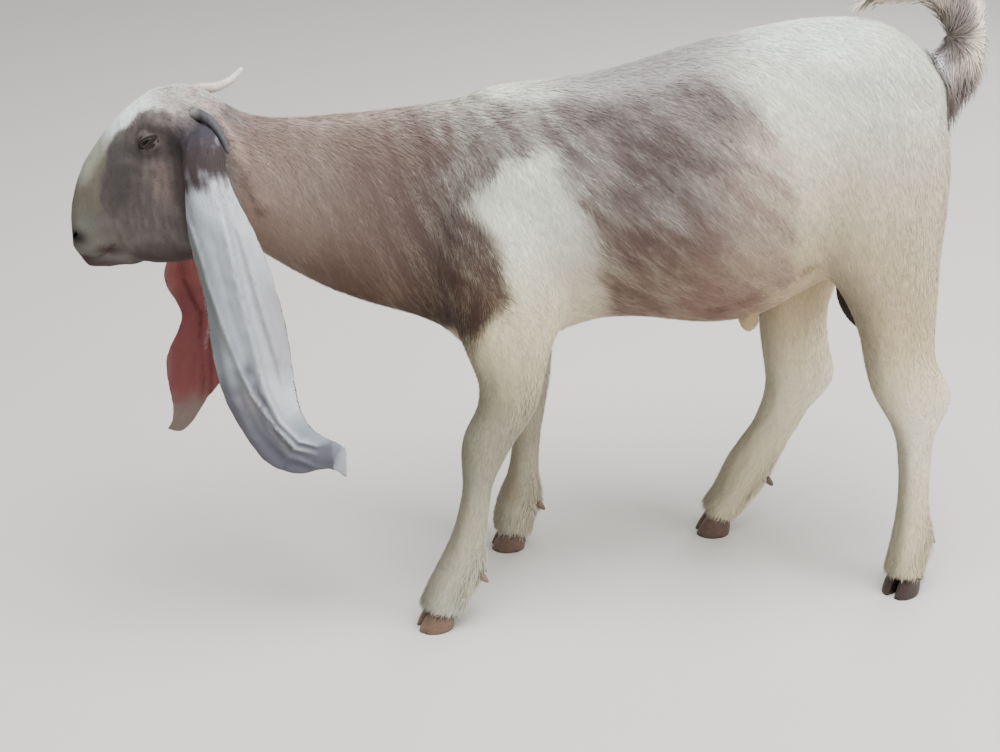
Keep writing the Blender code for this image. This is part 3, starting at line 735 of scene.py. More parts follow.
# %% Blend each ear into its root
def blend_ear_roots():
    """Smooth where an ear leaves its root, and where the root meets the cheek."""
    near = np.zeros(surface.count)
    for side in EYES:
        mine = part == PARTS["ear_" + side]
        along, _ = ear_coordinates(side, surface.place)
        near = np.maximum(near, np.exp(-0.5 * ((along - 0.150) / 0.040)**2) * mine)
        border = surface.spread(mine.astype(float), 14)
        near = np.maximum(near, 5 * border * (1 - border)
                          * smoothstep(0.520, 0.535, surface.place[:, 2]))
    near = np.clip(surface.spread(near, 3) * 1.3, 0, 1)[:, None]
    for _ in range(30):
        surface.place = surface.place + (surface.spread(surface.place, 1)
                                         - surface.place) * near
    surface.refresh()
    store_places(skin.data, surface.place)


blend_ear_roots()
print("ears blended in")

# %% [markdown]
# ## A flat plan of the skin
# The skin gets a flat plan, called OFBake, for its colours to be baked on. Smart UV Project
# cuts the skin where it bends and lays the pieces flat. Each tuft of the coat later gets its
# own small patch at its root's place on this same plan.

# %% Unwrap
PLAN = "OFBake"


def unwrap(thing):
    thing.data.uv_layers.new(name=PLAN)
    bpy.context.view_layer.objects.active = thing
    bpy.ops.object.select_all(action="DESELECT")
    thing.select_set(True)
    bpy.ops.object.mode_set(mode="EDIT")
    bpy.ops.mesh.select_all(action="SELECT")
    bpy.ops.uv.smart_project(angle_limit=math.radians(66), island_margin=0.002)
    bpy.ops.object.mode_set(mode="OBJECT")


unwrap(skin)
skin_plan = read(skin.data.uv_layers[PLAN].data, "uv", 2).reshape(-1, 3, 2)
print("plan of", len(skin_plan), "faces")

# %% [markdown]
# ## Markings
# The goat is a roan: brown hairs and white ones grow together, in patches where one or the
# other wins. So every place has three things: the colour of its white hair, the colour
# of its brown hair, and the share of brown. The skin shows the mix, and each tuft is
# dyed by chance, near the share of its place.

# %% Soft mottle
LATTICE_SIDE = 32
LATTICE = np.random.default_rng(7).random((LATTICE_SIDE,) * 3)


def mottle(points, size, shift=0.0):
    """Smooth chance values from -1 to 1, in patches about size across."""
    scaled = points / size + shift
    cell = np.floor(scaled).astype(int)
    t = scaled - cell
    t = t * t * (3 - 2 * t)
    total = np.zeros(len(points))
    for corner in np.ndindex(2, 2, 2):
        weight = np.where(corner, t, 1 - t).prod(axis=1)
        i, j, k = ((cell + corner) % LATTICE_SIDE).T
        total += weight * LATTICE[i, j, k]
    return 2 * total - 1


def nearest_mix(points, places, values, reach):
    """Values known at a few places, blended by how near each place is."""
    places, values = np.array(places, float), np.array(values, float)
    total = np.zeros((len(points), values.shape[1]))
    weights = np.full(len(points), 1e-12)
    for place, value in zip(places, values):
        near = np.exp(-0.5 * ((points - place)**2).sum(axis=1) / reach**2)
        total += near[:, None] * value
        weights += near
    return total / weights[:, None]


def inside(flat, outline, soft):
    """1 inside an outline of the side view, 0 outside, with an edge soft wide."""
    outline = np.array(outline, float)
    gap = gap_to_line(flat, (*outline, outline[0]))
    within = np.zeros(len(flat), bool)
    for a, b in zip(outline, np.roll(outline, -1, axis=0)):
        d = b - a
        crosses = (a[1] > flat[:, 1]) != (b[1] > flat[:, 1])
        level = a[0] + (flat[:, 1] - a[1]) / (d[1] if d[1] else 1e-9) * d[0]
        within ^= crosses & (flat[:, 0] < level)
    return smoothstep(-soft, soft, np.where(within, gap, -gap))


def own_share(names, rounds=10):
    """How much each point belongs to the named parts, soft at their borders."""
    return surface.spread(np.isin(part, [PARTS[n] for n in names]).astype(float), rounds)


print("mottle, mix and outline ready")

# %% Hair colours by place in the side view (x, z), linear red, green and blue
BROWN_HAIR = {
    "throat": ((-0.265, 0.455), (0.400, 0.325, 0.280)),
    # the hair behind the ear is made lighter than it is, as painted light against the shade the
    # ear casts there
    "behind the ear": ((-0.285, 0.505), (0.500, 0.410, 0.365)),
    "nape": ((-0.290, 0.560), (0.180, 0.132, 0.125)),
    "side of the neck": ((-0.220, 0.490), (0.390, 0.350, 0.320)),
    "lower side of the neck": ((-0.190, 0.455), (0.300, 0.240, 0.210)),
    "middle of the neck": ((-0.150, 0.490), (0.265, 0.215, 0.198)),
    "upper neck": ((-0.215, 0.543), (0.175, 0.135, 0.122)),
    "top of the shoulder": ((-0.130, 0.543), (0.215, 0.165, 0.150)),
    "crest": ((-0.215, 0.582), (0.450, 0.380, 0.335)),
    "under the neck": ((-0.190, 0.385), (0.185, 0.115, 0.088)),
    "low neck": ((-0.150, 0.440), (0.260, 0.190, 0.165)),
    "before the shoulder": ((-0.105, 0.470), (0.155, 0.130, 0.130)),
    "point of the shoulder": ((-0.070, 0.420), (0.175, 0.120, 0.098)),
    "brisket": ((-0.090, 0.340), (0.085, 0.048, 0.038)),
    "withers": ((-0.030, 0.570), (0.205, 0.170, 0.165)),
    "upper barrel": ((0.070, 0.585), (0.205, 0.172, 0.168)),
    "barrel": ((0.110, 0.500), (0.200, 0.165, 0.155)),
    "low barrel": ((0.070, 0.430), (0.215, 0.158, 0.138)),
    "belly": ((0.150, 0.385), (0.310, 0.230, 0.200)),
    "rear barrel": ((0.220, 0.450), (0.390, 0.320, 0.290)),
    "legs": ((0.000, 0.150), (0.330, 0.240, 0.150)),
    "thigh": ((0.330, 0.350), (0.330, 0.255, 0.180)),
}
WHITE_HAIR = {
    "neck": ((-0.220, 0.500), (0.600, 0.525, 0.475)),
    "before the flank": ((0.272, 0.485), (0.760, 0.730, 0.620)),
    "side of the rump": ((0.335, 0.555), (0.550, 0.525, 0.470)),
    "shoulder": ((-0.020, 0.490), (0.700, 0.720, 0.660)),
    "upper arm": ((-0.060, 0.350), (0.740, 0.690, 0.540)),
    "forearm": ((-0.090, 0.250), (0.400, 0.365, 0.290)),
    "knee": ((-0.085, 0.215), (0.450, 0.440, 0.390)),
    "fore cannon": ((-0.110, 0.110), (0.520, 0.490, 0.400)),
    "fore foot": ((-0.130, 0.045), (0.600, 0.600, 0.540)),
    "back": ((0.100, 0.640), (0.410, 0.395, 0.395)),
    "barrel": ((0.120, 0.500), (0.450, 0.430, 0.415)),
    "rump": ((0.310, 0.600), (0.720, 0.780, 0.740)),
    "flank": ((0.305, 0.450), (0.500, 0.430, 0.320)),
    "buttock": ((0.380, 0.430), (0.660, 0.600, 0.500)),
    "thigh": ((0.330, 0.380), (0.560, 0.490, 0.370)),
    "stifle": ((0.245, 0.370), (0.500, 0.410, 0.290)),
    "gaskin": ((0.330, 0.290), (0.680, 0.590, 0.430)),
    "hock": ((0.350, 0.215), (0.790, 0.760, 0.670)),
    "hind cannon": ((0.340, 0.120), (0.640, 0.590, 0.470)),
    "belly": ((0.080, 0.370), (0.560, 0.500, 0.410)),
}

# Where brown wins: outline in the side view, share of brown, softness of the edge
BROWN_PATCHES = {
    "neck": ([(-0.37, 0.66), (-0.37, 0.38), (-0.20, 0.30), (-0.100, 0.325), (-0.070, 0.346),
              (-0.056, 0.364), (-0.040, 0.384), (-0.036, 0.404), (-0.042, 0.435),
              (-0.054, 0.464), (-0.074, 0.490), (-0.092, 0.512), (-0.085, 0.547),
              (-0.100, 0.600), (-0.100, 0.66)], 0.94, 0.010),
    "withers": ([(-0.110, 0.62), (-0.105, 0.500), (-0.078, 0.487), (-0.060, 0.510),
                 (-0.040, 0.530), (-0.010, 0.545), (0.018, 0.535), (0.070, 0.560),
                 (0.080, 0.574), (0.030, 0.582), (-0.040, 0.574)], 0.78, 0.012),
    "barrel": ([(0.010, 0.562), (0.085, 0.583), (0.160, 0.598), (0.200, 0.592), (0.222, 0.570),
                (0.245, 0.517), (0.255, 0.444), (0.250, 0.385), (0.200, 0.300),
                (0.088, 0.300), (0.062, 0.375), (0.048, 0.459), (0.022, 0.515)], 0.80, 0.012),
}
# Paler places inside those patches: middle (x, z), reach in metres, share taken away
PALER = {
    "light top of the neck": ((-0.175, 0.583), (0.085, 0.013), 0.75),
    "light band on the back": ((0.110, 0.625), (0.160, 0.022), 0.45),
    "grey of the rear barrel": ((0.235, 0.560), (0.050, 0.050), 0.40),
    "light side of the neck": ((-0.245, 0.520), (0.035, 0.022), 0.15),
    "flank": ((0.270, 0.430), (0.030, 0.060), 0.25),
}
# grey hair and painted shade down the front of every leg, on the side turned from the light
SHIN_GREY_AND_SHADE = (0.300, 0.285, 0.240)     # down the front of every leg


def body_markings(points):
    """White hair, brown hair and the share of brown on neck, trunk and legs."""
    warp = mottle(points, 0.030) * 0.007 + mottle(points, 0.011, 5.0) * 0.004
    flat = points[:, [0, 2]] + np.column_stack((warp, -warp))
    white = nearest_mix(flat, *zip(*WHITE_HAIR.values()), 0.055)
    brown = nearest_mix(flat, *zip(*BROWN_HAIR.values()), 0.038)
    share = np.zeros(len(points))
    for outline, most, soft in BROWN_PATCHES.values():
        share = np.maximum(share, most * inside(flat, outline, soft))
    for place, reach, less in PALER.values():
        away = (flat - np.array(place)) / np.array(reach)
        share -= less * np.exp(-0.5 * (away**2).sum(axis=1)) * (share > 0)
    back_down = points @ np.array((0.72, 0.0, -0.69))
    over = points @ np.array((0.69, 0.0, 0.72))
    streak = mottle(np.column_stack((back_down / 6, points[:, 1] / 2, over)), 0.008, 3.0)
    barrel = inside(flat, BROWN_PATCHES["barrel"][0], 0.02)
    share += streak * 0.34 * barrel
    # painted shade with grey hair: leg fronts that face away from the light are greyed
    grey_and_shaded_front = own_share(LEGS, 6) * smoothstep(0.15, 0.85, -surface.normal[:, 0])
    white = toward(white, SHIN_GREY_AND_SHADE, 0.62 * grey_and_shaded_front * (1 - smoothstep(0.37, 0.43, points[:, 2])))
    low_leg = (1 - smoothstep(0.10, 0.30, points[:, 2])) * (points[:, 1] > 0)
    fore = low_leg * (points[:, 0] < 0.1)
    share = np.maximum(share, 0.30 * fore * (0.6 + 0.4 * mottle(points, 0.02)))
    return white, brown, np.clip(share, 0, 1)


print(len(BROWN_PATCHES), "patches,", len(BROWN_HAIR) + len(WHITE_HAIR), "hair colours")

# %% Markings of the head
# Along the head the face is told by how far a point is from its front line, nose to poll.
FACE_LINE = [(-0.4645, 0.444), (-0.4685, 0.460), (-0.4660, 0.482), (-0.4565, 0.508),
             (-0.4435, 0.535), (-0.4185, 0.568), (-0.3900, 0.593), (-0.3575, 0.6055),
             (-0.3255, 0.600), (-0.2895, 0.576)]
# how far the pale front reaches from that line at each height: (z, metres)
FRONT_WIDTH = [(0.440, 0.030), (0.475, 0.031), (0.493, 0.029), (0.515, 0.023), (0.535, 0.016),
               (0.552, 0.0110), (0.565, 0.0092), (0.581, 0.0100), (0.600, 0.012)]
ROAN_FACE = (0.248, 0.228, 0.220)
SLATE = (0.160, 0.150, 0.147)
CHEEK_PINK = (0.430, 0.345, 0.330)
JAW_BROWN = (0.134, 0.106, 0.100)
FOREHEAD_WHITE = (0.740, 0.790, 0.780)
POLL_MIX = (0.540, 0.520, 0.500)
NOSE_OLIVE = (0.275, 0.260, 0.225)
NOSE_CREAM = (0.470, 0.480, 0.430)
NOSE_GREY = (0.258, 0.256, 0.232)
MUZZLE_PALE = (0.280, 0.270, 0.245)
# painted shadow in the opening of each nostril
NOSTRIL_SHADOW = (0.035, 0.027, 0.030)
LIP_MAUVE = (0.134, 0.092, 0.092)
CHIN_PALE = (0.280, 0.258, 0.245)
EAR_ROOT_BROWN = (0.140, 0.114, 0.118)
# painted shade in the crease over the root of the ear
EAR_CREASE_SHADE = (0.090, 0.080, 0.088)
EAR_TOP_SLATE = (0.120, 0.118, 0.140)
# where the pale poll begins above the eye and the ear: (x, z)
POLL_EDGE = [(-0.405, 0.625), (-0.3815, 0.594), (-0.3660, 0.593), (-0.3525, 0.583),
             (-0.3345, 0.581), (-0.3145, 0.580), (-0.3050, 0.583), (-0.2980, 0.596)]
# soft spots on both sides of the head: colour, share, middle, reach
SPOTS_ON_ROAN = (
    (SLATE, 0.55, (-0.393, 0.035, 0.517), (0.009, 0.03, 0.005)),
    (SLATE, 0.75, (-0.346, 0.045, 0.492), (0.007, 0.03, 0.040)),
    (SLATE, 0.45, (-0.362, 0.045, 0.548), (0.012, 0.03, 0.006)))
# in these, the slate round the eye is slate hair and painted shade of the deep-set eye
SPOTS_OVER_ALL = (
    (SLATE, 0.60, (-0.3755, 0.035, 0.560), (0.014, 0.03, 0.008)),
    (EAR_ROOT_BROWN, 1.0, (-0.330, 0.048, 0.545), (0.020, 0.02, 0.028)),
    (EAR_TOP_SLATE, 0.8, (-0.328, 0.045, 0.570), (0.014, 0.03, 0.007)),
    (EAR_CREASE_SHADE, 0.75, (-0.338, 0.045, 0.559), (0.012, 0.03, 0.008)),
    (MUZZLE_PALE, 0.80, (-0.4395, 0.020, 0.4585), (0.016, 0.02, 0.0085)),
    (NOSTRIL_SHADOW, 1.0, (-0.4600, 0.0160, 0.4600), (0.0080, 0.009, 0.0055)))


def toward(colour, target, share):
    return colour + (np.array(target) - colour) * share[:, None]


def ball(points, place, reach):
    """Near 1 at a place on either side of the head, fading over reach (one per axis)."""
    mirrored = np.column_stack((points[:, 0], np.abs(points[:, 1]), points[:, 2]))
    away = (mirrored - np.array(place)) / np.array(reach)
    return np.exp(-0.5 * (away**2).sum(axis=1))


def add_spots(colour, points, spots):
    for target, most, middle, reach in spots:
        colour = toward(colour, target, most * ball(points, middle, reach))
    return colour


def face_markings(points):
    front_gap = gap_to_line(points[:, [0, 2]], FACE_LINE)
    level = points[:, 2]
    grain = mottle(points, 0.012, 2.0)
    strand = mottle(points * np.array((1.0, 0.6, 0.25)), 0.0035, 9.0)
    reach = front_gap / np.interp(level, *zip(*FRONT_WIDTH)) + 0.16 * grain + 0.10 * strand
    front = 1 - smoothstep(0.72, 1.18, reach)
    front *= 1 - smoothstep(-0.340, -0.315, points[:, 0])
    band = smoothstep(0.85, 1.25, reach) * (1 - smoothstep(0.018, 0.032, front_gap
                      - np.interp(level, *zip(*FRONT_WIDTH)) + 0.006 * grain))
    colour = np.array(ROAN_FACE) * (1 + 0.12 * grain + 0.20 * strand)[:, None]
    colour = toward(colour, SLATE, 0.85 * band * smoothstep(0.475, 0.50, level)
                    * (1 - smoothstep(0.548, 0.575, level)) * (0.85 + 0.15 * strand))
    colour = toward(colour, CHEEK_PINK, 0.85 * (0.65 + 0.35 * strand)
                    * ball(points, (-0.366, 0.045, 0.522), (0.011, 0.03, 0.017)))
    colour = add_spots(colour, points, SPOTS_ON_ROAN)
    colour = toward(colour, JAW_BROWN, 0.9 * (1 - smoothstep(0.436, 0.460, level + 0.004 * grain))
                    * smoothstep(-0.425, -0.400, points[:, 0]))
    pale = np.array(NOSE_OLIVE) + (np.array(FOREHEAD_WHITE) - np.array(NOSE_OLIVE)) * (
        smoothstep(0.538, 0.576, level + 0.004 * grain))[:, None]
    # cream down the front of the nose: pale hair, lightened by painted light of the sky on that
    # edge
    pale = toward(pale, NOSE_CREAM, 0.75 * (1 - smoothstep(0.005, 0.015, front_gap))
                  * smoothstep(0.503, 0.528, level) * (1 - smoothstep(0.55, 0.57, level)))
    pale = toward(pale, NOSE_GREY, 1 - smoothstep(0.474, 0.500, level))
    pale = toward(pale, ROAN_FACE, 0.35 * smoothstep(0.2, 0.9, strand))
    colour = colour + (pale - colour) * front[:, None]
    edge = np.interp(points[:, 0], *zip(*POLL_EDGE))
    poll = smoothstep(-0.005, 0.006, level - edge + 0.004 * grain + 0.003 * strand)
    colour = toward(colour, POLL_MIX, 0.85 * poll * smoothstep(-0.385, -0.360, points[:, 0]))
    colour = toward(colour, CHEEK_PINK, 0.40 * poll * np.clip(2 * grain, 0, 1))
    colour = add_spots(colour, points, SPOTS_OVER_ALL)
    chin = 1 - smoothstep(0.432, 0.441, level + 0.25 * (points[:, 0] + 0.445))
    colour = toward(colour, LIP_MAUVE, 0.8 * chin * (1 - smoothstep(-0.425, -0.410,
                                                                    points[:, 0])))
    colour = toward(colour, CHIN_PALE, 0.9 * ball(points, (-0.4175, 0.022, 0.436),
                                                  (0.007, 0.012, 0.006)))
    lips = np.maximum(ball(points, (-0.452, 0.017, 0.438), (0.012, 0.008, 0.0028)),
                      ball(points, (-0.430, 0.0245, 0.446), (0.010, 0.006, 0.004)))
    return toward(colour, LIP_MAUVE, 0.9 * lips)


print("face line of", len(FACE_LINE), "points")

# %% Markings of the ears and the tail
EAR_WHITE = (0.560, 0.585, 0.615)
EAR_GREY = (0.215, 0.212, 0.240)
EAR_BLUE = (0.310, 0.340, 0.370)
EAR_ROSE = (0.460, 0.440, 0.455)
EAR_SLATE = (0.165, 0.170, 0.205)
EAR_PINK = (0.380, 0.340, 0.360)
EAR_SHADE = (0.285, 0.305, 0.320)
# the skin inside the ears: red and pink of its own, made lighter by painted light for what shines
# through the thin ear
EAR_INNER_RED = (0.410, 0.210, 0.200)
EAR_INNER_DARK = (0.255, 0.120, 0.125)
EAR_INNER_PINK = (0.500, 0.270, 0.245)
EAR_INNER_TAN = (0.280, 0.240, 0.222)
EAR_RIM = (0.340, 0.280, 0.250)
TAIL_BROWN = (0.465, 0.420, 0.395)
TAIL_PALE = (0.760, 0.690, 0.620)
TAIL_DARK = (0.240, 0.212, 0.204)
TAIL_PINK = (0.520, 0.380, 0.330)
TAIL_MIDDLE = np.array((0.3915, 0.0, 0.6260))     # the tail curls round this
TAIL_ROOT = np.array((0.4190, 0.5940))
RUMP_HAIR = (0.640, 0.640, 0.650)

# painted highlight on each ridge and painted shade beside it: ridge, millimetres to its rear, half
# width in mm, colour, share
EAR_SHADING = (("front ridge", 0.0, 1.3, (0.640, 0.670, 0.700), 0.70),
               ("front ridge", 3.2, 1.5, (0.330, 0.340, 0.370), 0.50),
               ("front ridge", -4.0, 3.0, (0.230, 0.220, 0.205), 0.40),
               ("main ridge", 0.0, 1.4, (0.640, 0.670, 0.700), 0.60),
               ("main ridge", -20.0, 2.6, (0.370, 0.385, 0.410), 0.50),
               ("main ridge", 3.4, 1.6, (0.360, 0.340, 0.370), 0.50),
               ("rear vein", 0.0, 1.0, (0.640, 0.650, 0.670), 0.40))


def spot_on_ear(along, across, middle, reach):
    away = ((along - middle[0]) / reach[0])**2 + ((across - middle[1]) / reach[1])**2
    return np.exp(-0.5 * away)


def ear_markings(side, points, normals):
    along, across = ear_coordinates(side, points)
    grain = mottle(points, 0.012, 4.0)
    lines = mottle(np.column_stack((along * 0.06, across * 0.04, along * 0)), 0.003, 5.0)
    colour = np.tile(EAR_WHITE, (len(points), 1)) * (1 + 0.05 * grain + 0.05 * lines)[:, None]
    colour = toward(colour, EAR_BLUE, 0.90 * smoothstep(0.74, 0.84, along))
    # painted shade on the front strip of the ear, which rolls away from the light
    edge = np.interp(along, (0.15, 0.35, 0.60, 0.80), (0.66, 0.70, 0.88, 0.92))
    front = 1 - smoothstep(0.08, 0.38, across + edge)
    colour = toward(colour, EAR_SHADE, 0.85 * front)
    low = smoothstep(0.57, 0.70, along + 0.05 * grain)
    reach = np.interp(along, (0.70, 0.82, 0.90), (0.06, 0.16, 0.32))
    colour = toward(colour, EAR_GREY, 0.90 * low * (1 - smoothstep(-0.10, 0.14, across - reach
                                                                  + 0.12 * grain)))
    rear = smoothstep(0.15, 0.75, across) * smoothstep(0.25, 0.45, along)
    colour = toward(colour, EAR_ROSE, 0.60 * rear * (1 - low))
    for target, most, middle, reach in (
            (EAR_SLATE, 0.75, (0.630, -0.28), (0.022, 0.14)),
            (EAR_PINK, 0.80, (0.690, -0.30), (0.026, 0.11)),
            (EAR_SLATE, 0.75, (0.745, -0.06), (0.032, 0.16)),
            (EAR_SLATE, 0.45, (0.835, -0.20), (0.050, 0.25)),
            (EAR_SLATE, 0.45, (0.905, -0.20), (0.015, 0.12))):
        colour = toward(colour, target, most * spot_on_ear(along, across, middle, reach))
    colour = toward(colour, EAR_WHITE, 0.8 * smoothstep(0.955, 0.985, along))
    # painted highlights and painted shade along the folds
    for ridge, beside, half_width, target, most in EAR_SHADING:
        colour = toward(colour, target, most * ridge_share(ridge, along, across, beside,
                                                           half_width))
    root = 1 - smoothstep(0.112, 0.168, along + 0.016 * grain + 0.024 * lines)
    colour = toward(colour, EAR_ROOT_BROWN, root)
    colour = toward(colour, EAR_TOP_SLATE, 0.9 * (1 - smoothstep(0.030, 0.075, along)))
    # painted sheen: pale streaks over the dark slate top of the ear's root
    colour = toward(colour, EAR_WHITE, 0.45 * smoothstep(0.55, 0.95, lines)
                    * spot_on_ear(along, across, (0.05, 0.3), (0.03, 0.4)))
    outward = normals[:, 1] * (-1 if side == "left" else 1)
    inner = smoothstep(0.30, 0.65, -outward) * smoothstep(0.12, 0.25, along)
    skin_red = np.tile(EAR_INNER_RED, (len(points), 1)) * (1 + 0.12 * lines)[:, None]
    skin_red = toward(skin_red, EAR_INNER_DARK, 0.85 * smoothstep(0.47, 0.58, along))
    skin_red = toward(skin_red, EAR_INNER_PINK, 0.35 * spot_on_ear(
        along, across, (0.57, 0.30), (0.04, 0.30)))
    skin_red = toward(skin_red, EAR_RIM, 0.7 * (1 - smoothstep(-1.0, -0.62, across))
                      * smoothstep(0.40, 0.52, along))
    skin_red = toward(skin_red, EAR_INNER_TAN, smoothstep(0.83, 0.93, along + 0.02 * grain))
    return colour + (skin_red - colour) * inner[:, None]


def tail_markings(points):
    """Dark down the middle, pale where the fringe grows, pinkish on the bare inside."""
    away = points[:, [0, 2]] - TAIL_MIDDLE[[0, 2]]
    radius = np.linalg.norm(away, axis=1) + 0.003 * mottle(points, 0.010, 6.0)
    colour = np.tile(TAIL_BROWN, (len(points), 1))
    colour = toward(colour, TAIL_DARK, 0.8 * np.exp(-0.5 * ((radius - 0.040) / 0.009)**2))
    low = 1 - smoothstep(0.565, 0.600, points[:, 2])
    colour = toward(colour, TAIL_DARK, 0.8 * low)
    beyond = points[:, 0] - 0.440 - 0.35 * (points[:, 2] - 0.555)
    root = 1 - smoothstep(0.585, 0.605, points[:, 2])
    pale = smoothstep(0.045, 0.059, radius) * (1 - root) + smoothstep(-0.002, 0.008, beyond) * root
    colour = toward(colour, TAIL_PALE, pale)
    forward = (1 - smoothstep(0.408, 0.430, points[:, 0])) * smoothstep(0.628, 0.640, points[:, 2])
    colour = toward(colour, TAIL_PALE, 0.80 * forward)
    bare = (1 - smoothstep(0.0175, 0.0235, radius)) * smoothstep(0.598, 0.606, points[:, 2])
    colour = toward(colour, TAIL_PINK, 0.9 * bare * (1 - forward))
    away = (points[:, [0, 2]] - TAIL_ROOT) / 0.0075
    return toward(colour, RUMP_HAIR, 0.9 * np.exp(-0.5 * (away**2).sum(axis=1)))


print("ears and tail ready")

# %% The markings of every point of the skin
# thin marks in the side view: points (x, z), half width in metres, colour, strength; the dark ones
# in the creases and the fold are painted shade
THIN_MARKS = {
    "pale hair behind the ear": ([(-0.3245, 0.592), (-0.3145, 0.585), (-0.3015, 0.567),
                                  (-0.2895, 0.537)], 0.0024, (0.560, 0.450, 0.400), 0.8),
    "shade in the crease behind the ear": ([(-0.3005, 0.540), (-0.2895, 0.513), (-0.2785, 0.483)],
                              0.0016, (0.110, 0.070, 0.062), 0.50),
    "shade in the fold of the flank": ([(0.2500, 0.392), (0.2760, 0.408)], 0.0020,
                          (0.230, 0.150, 0.110), 0.6),
    "shade in the crease of the belly": ([(0.1700, 0.362), (0.1950, 0.370), (0.2150, 0.380)], 0.0030,
                            (0.200, 0.115, 0.085), 0.6),
}


def thin_marks(points):
    """Colour and strength of each thin mark at every point."""
    for line, half_width, colour, strength in THIN_MARKS.values():
        gap = gap_to_line(points[:, [0, 2]], line)
        yield colour, strength * np.exp(-0.5 * (gap / half_width)**2)


# a marking's own colour is this much lighter in its white hair, and darker in its brown
HEAD_SPLIT = (1.15, 0.85)
EAR_SPLIT = (1.05, 0.95)


def paint_skin():
    points, normals = surface.place, surface.normal
    white, brown, share = body_markings(points)
    head = own_share(("head", "eye_left", "eye_right"), 6)
    face = face_markings(points)
    for target, weight in ((face, head), (tail_markings(points), own_share(("tail",), 8))):
        white += (target * HEAD_SPLIT[0] - white) * weight[:, None]
        brown += (target * HEAD_SPLIT[1] - brown) * weight[:, None]
        share += (0.5 - share) * weight
    for target, weight in thin_marks(points):
        weight = weight * smoothstep(0.012, 0.030, np.abs(points[:, 1]))
        white = toward(white, target, weight)
        brown = toward(brown, target, weight)
    for side in EYES:
        weight = own_share(("ear_" + side,), 4)
        target = ear_markings(side, points, normals)
        white += (target * EAR_SPLIT[0] - white) * weight[:, None]
        brown += (target * EAR_SPLIT[1] - brown) * weight[:, None]
    return white, brown, share


white_hair, brown_hair, brown_share = paint_skin()
skin_colour = white_hair + (brown_hair - white_hair) * brown_share[:, None]
print("mean colour", skin_colour.mean(axis=0).round(3))

# %% Inside the lids and the nostrils
# dark lid skin, with painted shade round the deep-set eye
LID_SKIN_AND_SHADE = (0.060, 0.038, 0.034)
# painted shade deep in each nostril
NOSTRIL_INSIDE_SHADE = (0.020, 0.014, 0.013)
DARK_RIM = (1.2 * MM, 1.5 * MM)       # beside and above the slit of the lids


def darken_openings():
    for side in EYES:
        along, up, ahead = from_eye(side, surface.place)
        slit = np.hypot(along / (SLIT_HALF_LENGTH + DARK_RIM[0]),
                        up / (UPPER_LID_OPEN + DARK_RIM[1]))
        near = (1 - smoothstep(1.00, 1.40, slit)) * (ahead > 0)
        skin_colour[:] = toward(skin_colour, LID_SKIN_AND_SHADE, near)
        # painted shade in the hollow of the nostril
        gap = np.linalg.norm(surface.place - np.array(NOSTRILS[side]), axis=1)
        deep = 1 - smoothstep(0.0035, 0.0075, gap)
        skin_colour[:] = toward(skin_colour, NOSTRIL_INSIDE_SHADE, deep)


darken_openings()
print("openings dark")

# %% [markdown]
# ## Finishes
# Hair on the tufts and hair on the skin share one effect, so it is a node group: it takes
# the dye that the mesh carries and breaks it up with fine grain. The group gives
# out a colour and a height only, and each material keeps its own shader.

# %% Nodes that the finishes share
def feed(tree, socket, value):
    """Set a socket to a plain value, or link another socket to it."""
    if isinstance(value, bpy.types.NodeSocket):
        tree.links.new(value, socket)
    else:
        socket.default_value = value


def add_node(tree, kind, **inputs):
    """Add a shader node and feed its named inputs."""
    node = tree.nodes.new(kind)
    for name, value in inputs.items():
        feed(tree, node.inputs[name.replace("_", " ")], value)
    return node


def calculate(tree, operation, *values):
    """The result of a Math node."""
    node = tree.nodes.new("ShaderNodeMath")
    node.operation = operation
    for socket, value in zip(node.inputs, values):
        feed(tree, socket, value)
    return node.outputs[0]


def scale_colour(tree, colour, factor):
    """A colour made lighter or darker by a factor."""
    node = tree.nodes.new("ShaderNodeVectorMath")
    node.operation = "SCALE"
    feed(tree, node.inputs[0], colour)
    feed(tree, node.inputs["Scale"], factor)
    return node.outputs["Vector"]


def widen(tree, noise, low, high):
    """A noise, which stays mostly near its middle, widened to run from low to high."""
    node = add_node(tree, "ShaderNodeMapRange", Value=noise.outputs["Fac"],
                    From_Min=0.3, From_Max=0.7, To_Min=low, To_Max=high)
    return node.outputs["Result"]


def add_relief(tree, shader, height, strength, distance):
    """Fine relief that only the light sees."""
    relief = add_node(tree, "ShaderNodeBump", Height=height, Strength=strength,
                      Distance=distance)
    tree.links.new(relief.outputs["Normal"], shader.inputs["Normal"])


print("shared nodes ready")

# %% The hair grain group
DYE = "hair_dye"


def hair_grain_group():
    group = bpy.data.node_groups.new("Hair grain", "ShaderNodeTree")
    sockets = (("Dye", "INPUT", "NodeSocketColor"), ("Place", "INPUT", "NodeSocketVector"),
               ("Size", "INPUT", "NodeSocketFloat"), ("Strength", "INPUT", "NodeSocketFloat"),
               ("Colour", "OUTPUT", "NodeSocketColor"), ("Height", "OUTPUT", "NodeSocketFloat"))
    for name, way, kind in sockets:
        group.interface.new_socket(name, in_out=way, socket_type=kind)
    source = group.nodes.new("NodeGroupInput")
    goal = group.nodes.new("NodeGroupOutput")
    grain = add_node(group, "ShaderNodeTexNoise", Vector=source.outputs["Place"],
                     Scale=source.outputs["Size"], Detail=3.0, Roughness=0.6)
    level = add_node(group, "ShaderNodeMapRange", Value=grain.outputs["Fac"],
                     From_Min=0.25, From_Max=0.75, To_Min=-1.0, To_Max=1.0)
    swing = calculate(group, "MULTIPLY_ADD", level.outputs["Result"],
                      source.outputs["Strength"], 1.0)
    group.links.new(scale_colour(group, source.outputs["Dye"], swing), goal.inputs["Colour"])
    group.links.new(grain.outputs["Fac"], goal.inputs["Height"])
    return group


HAIR_GRAIN = hair_grain_group()
print("group:", HAIR_GRAIN.name)


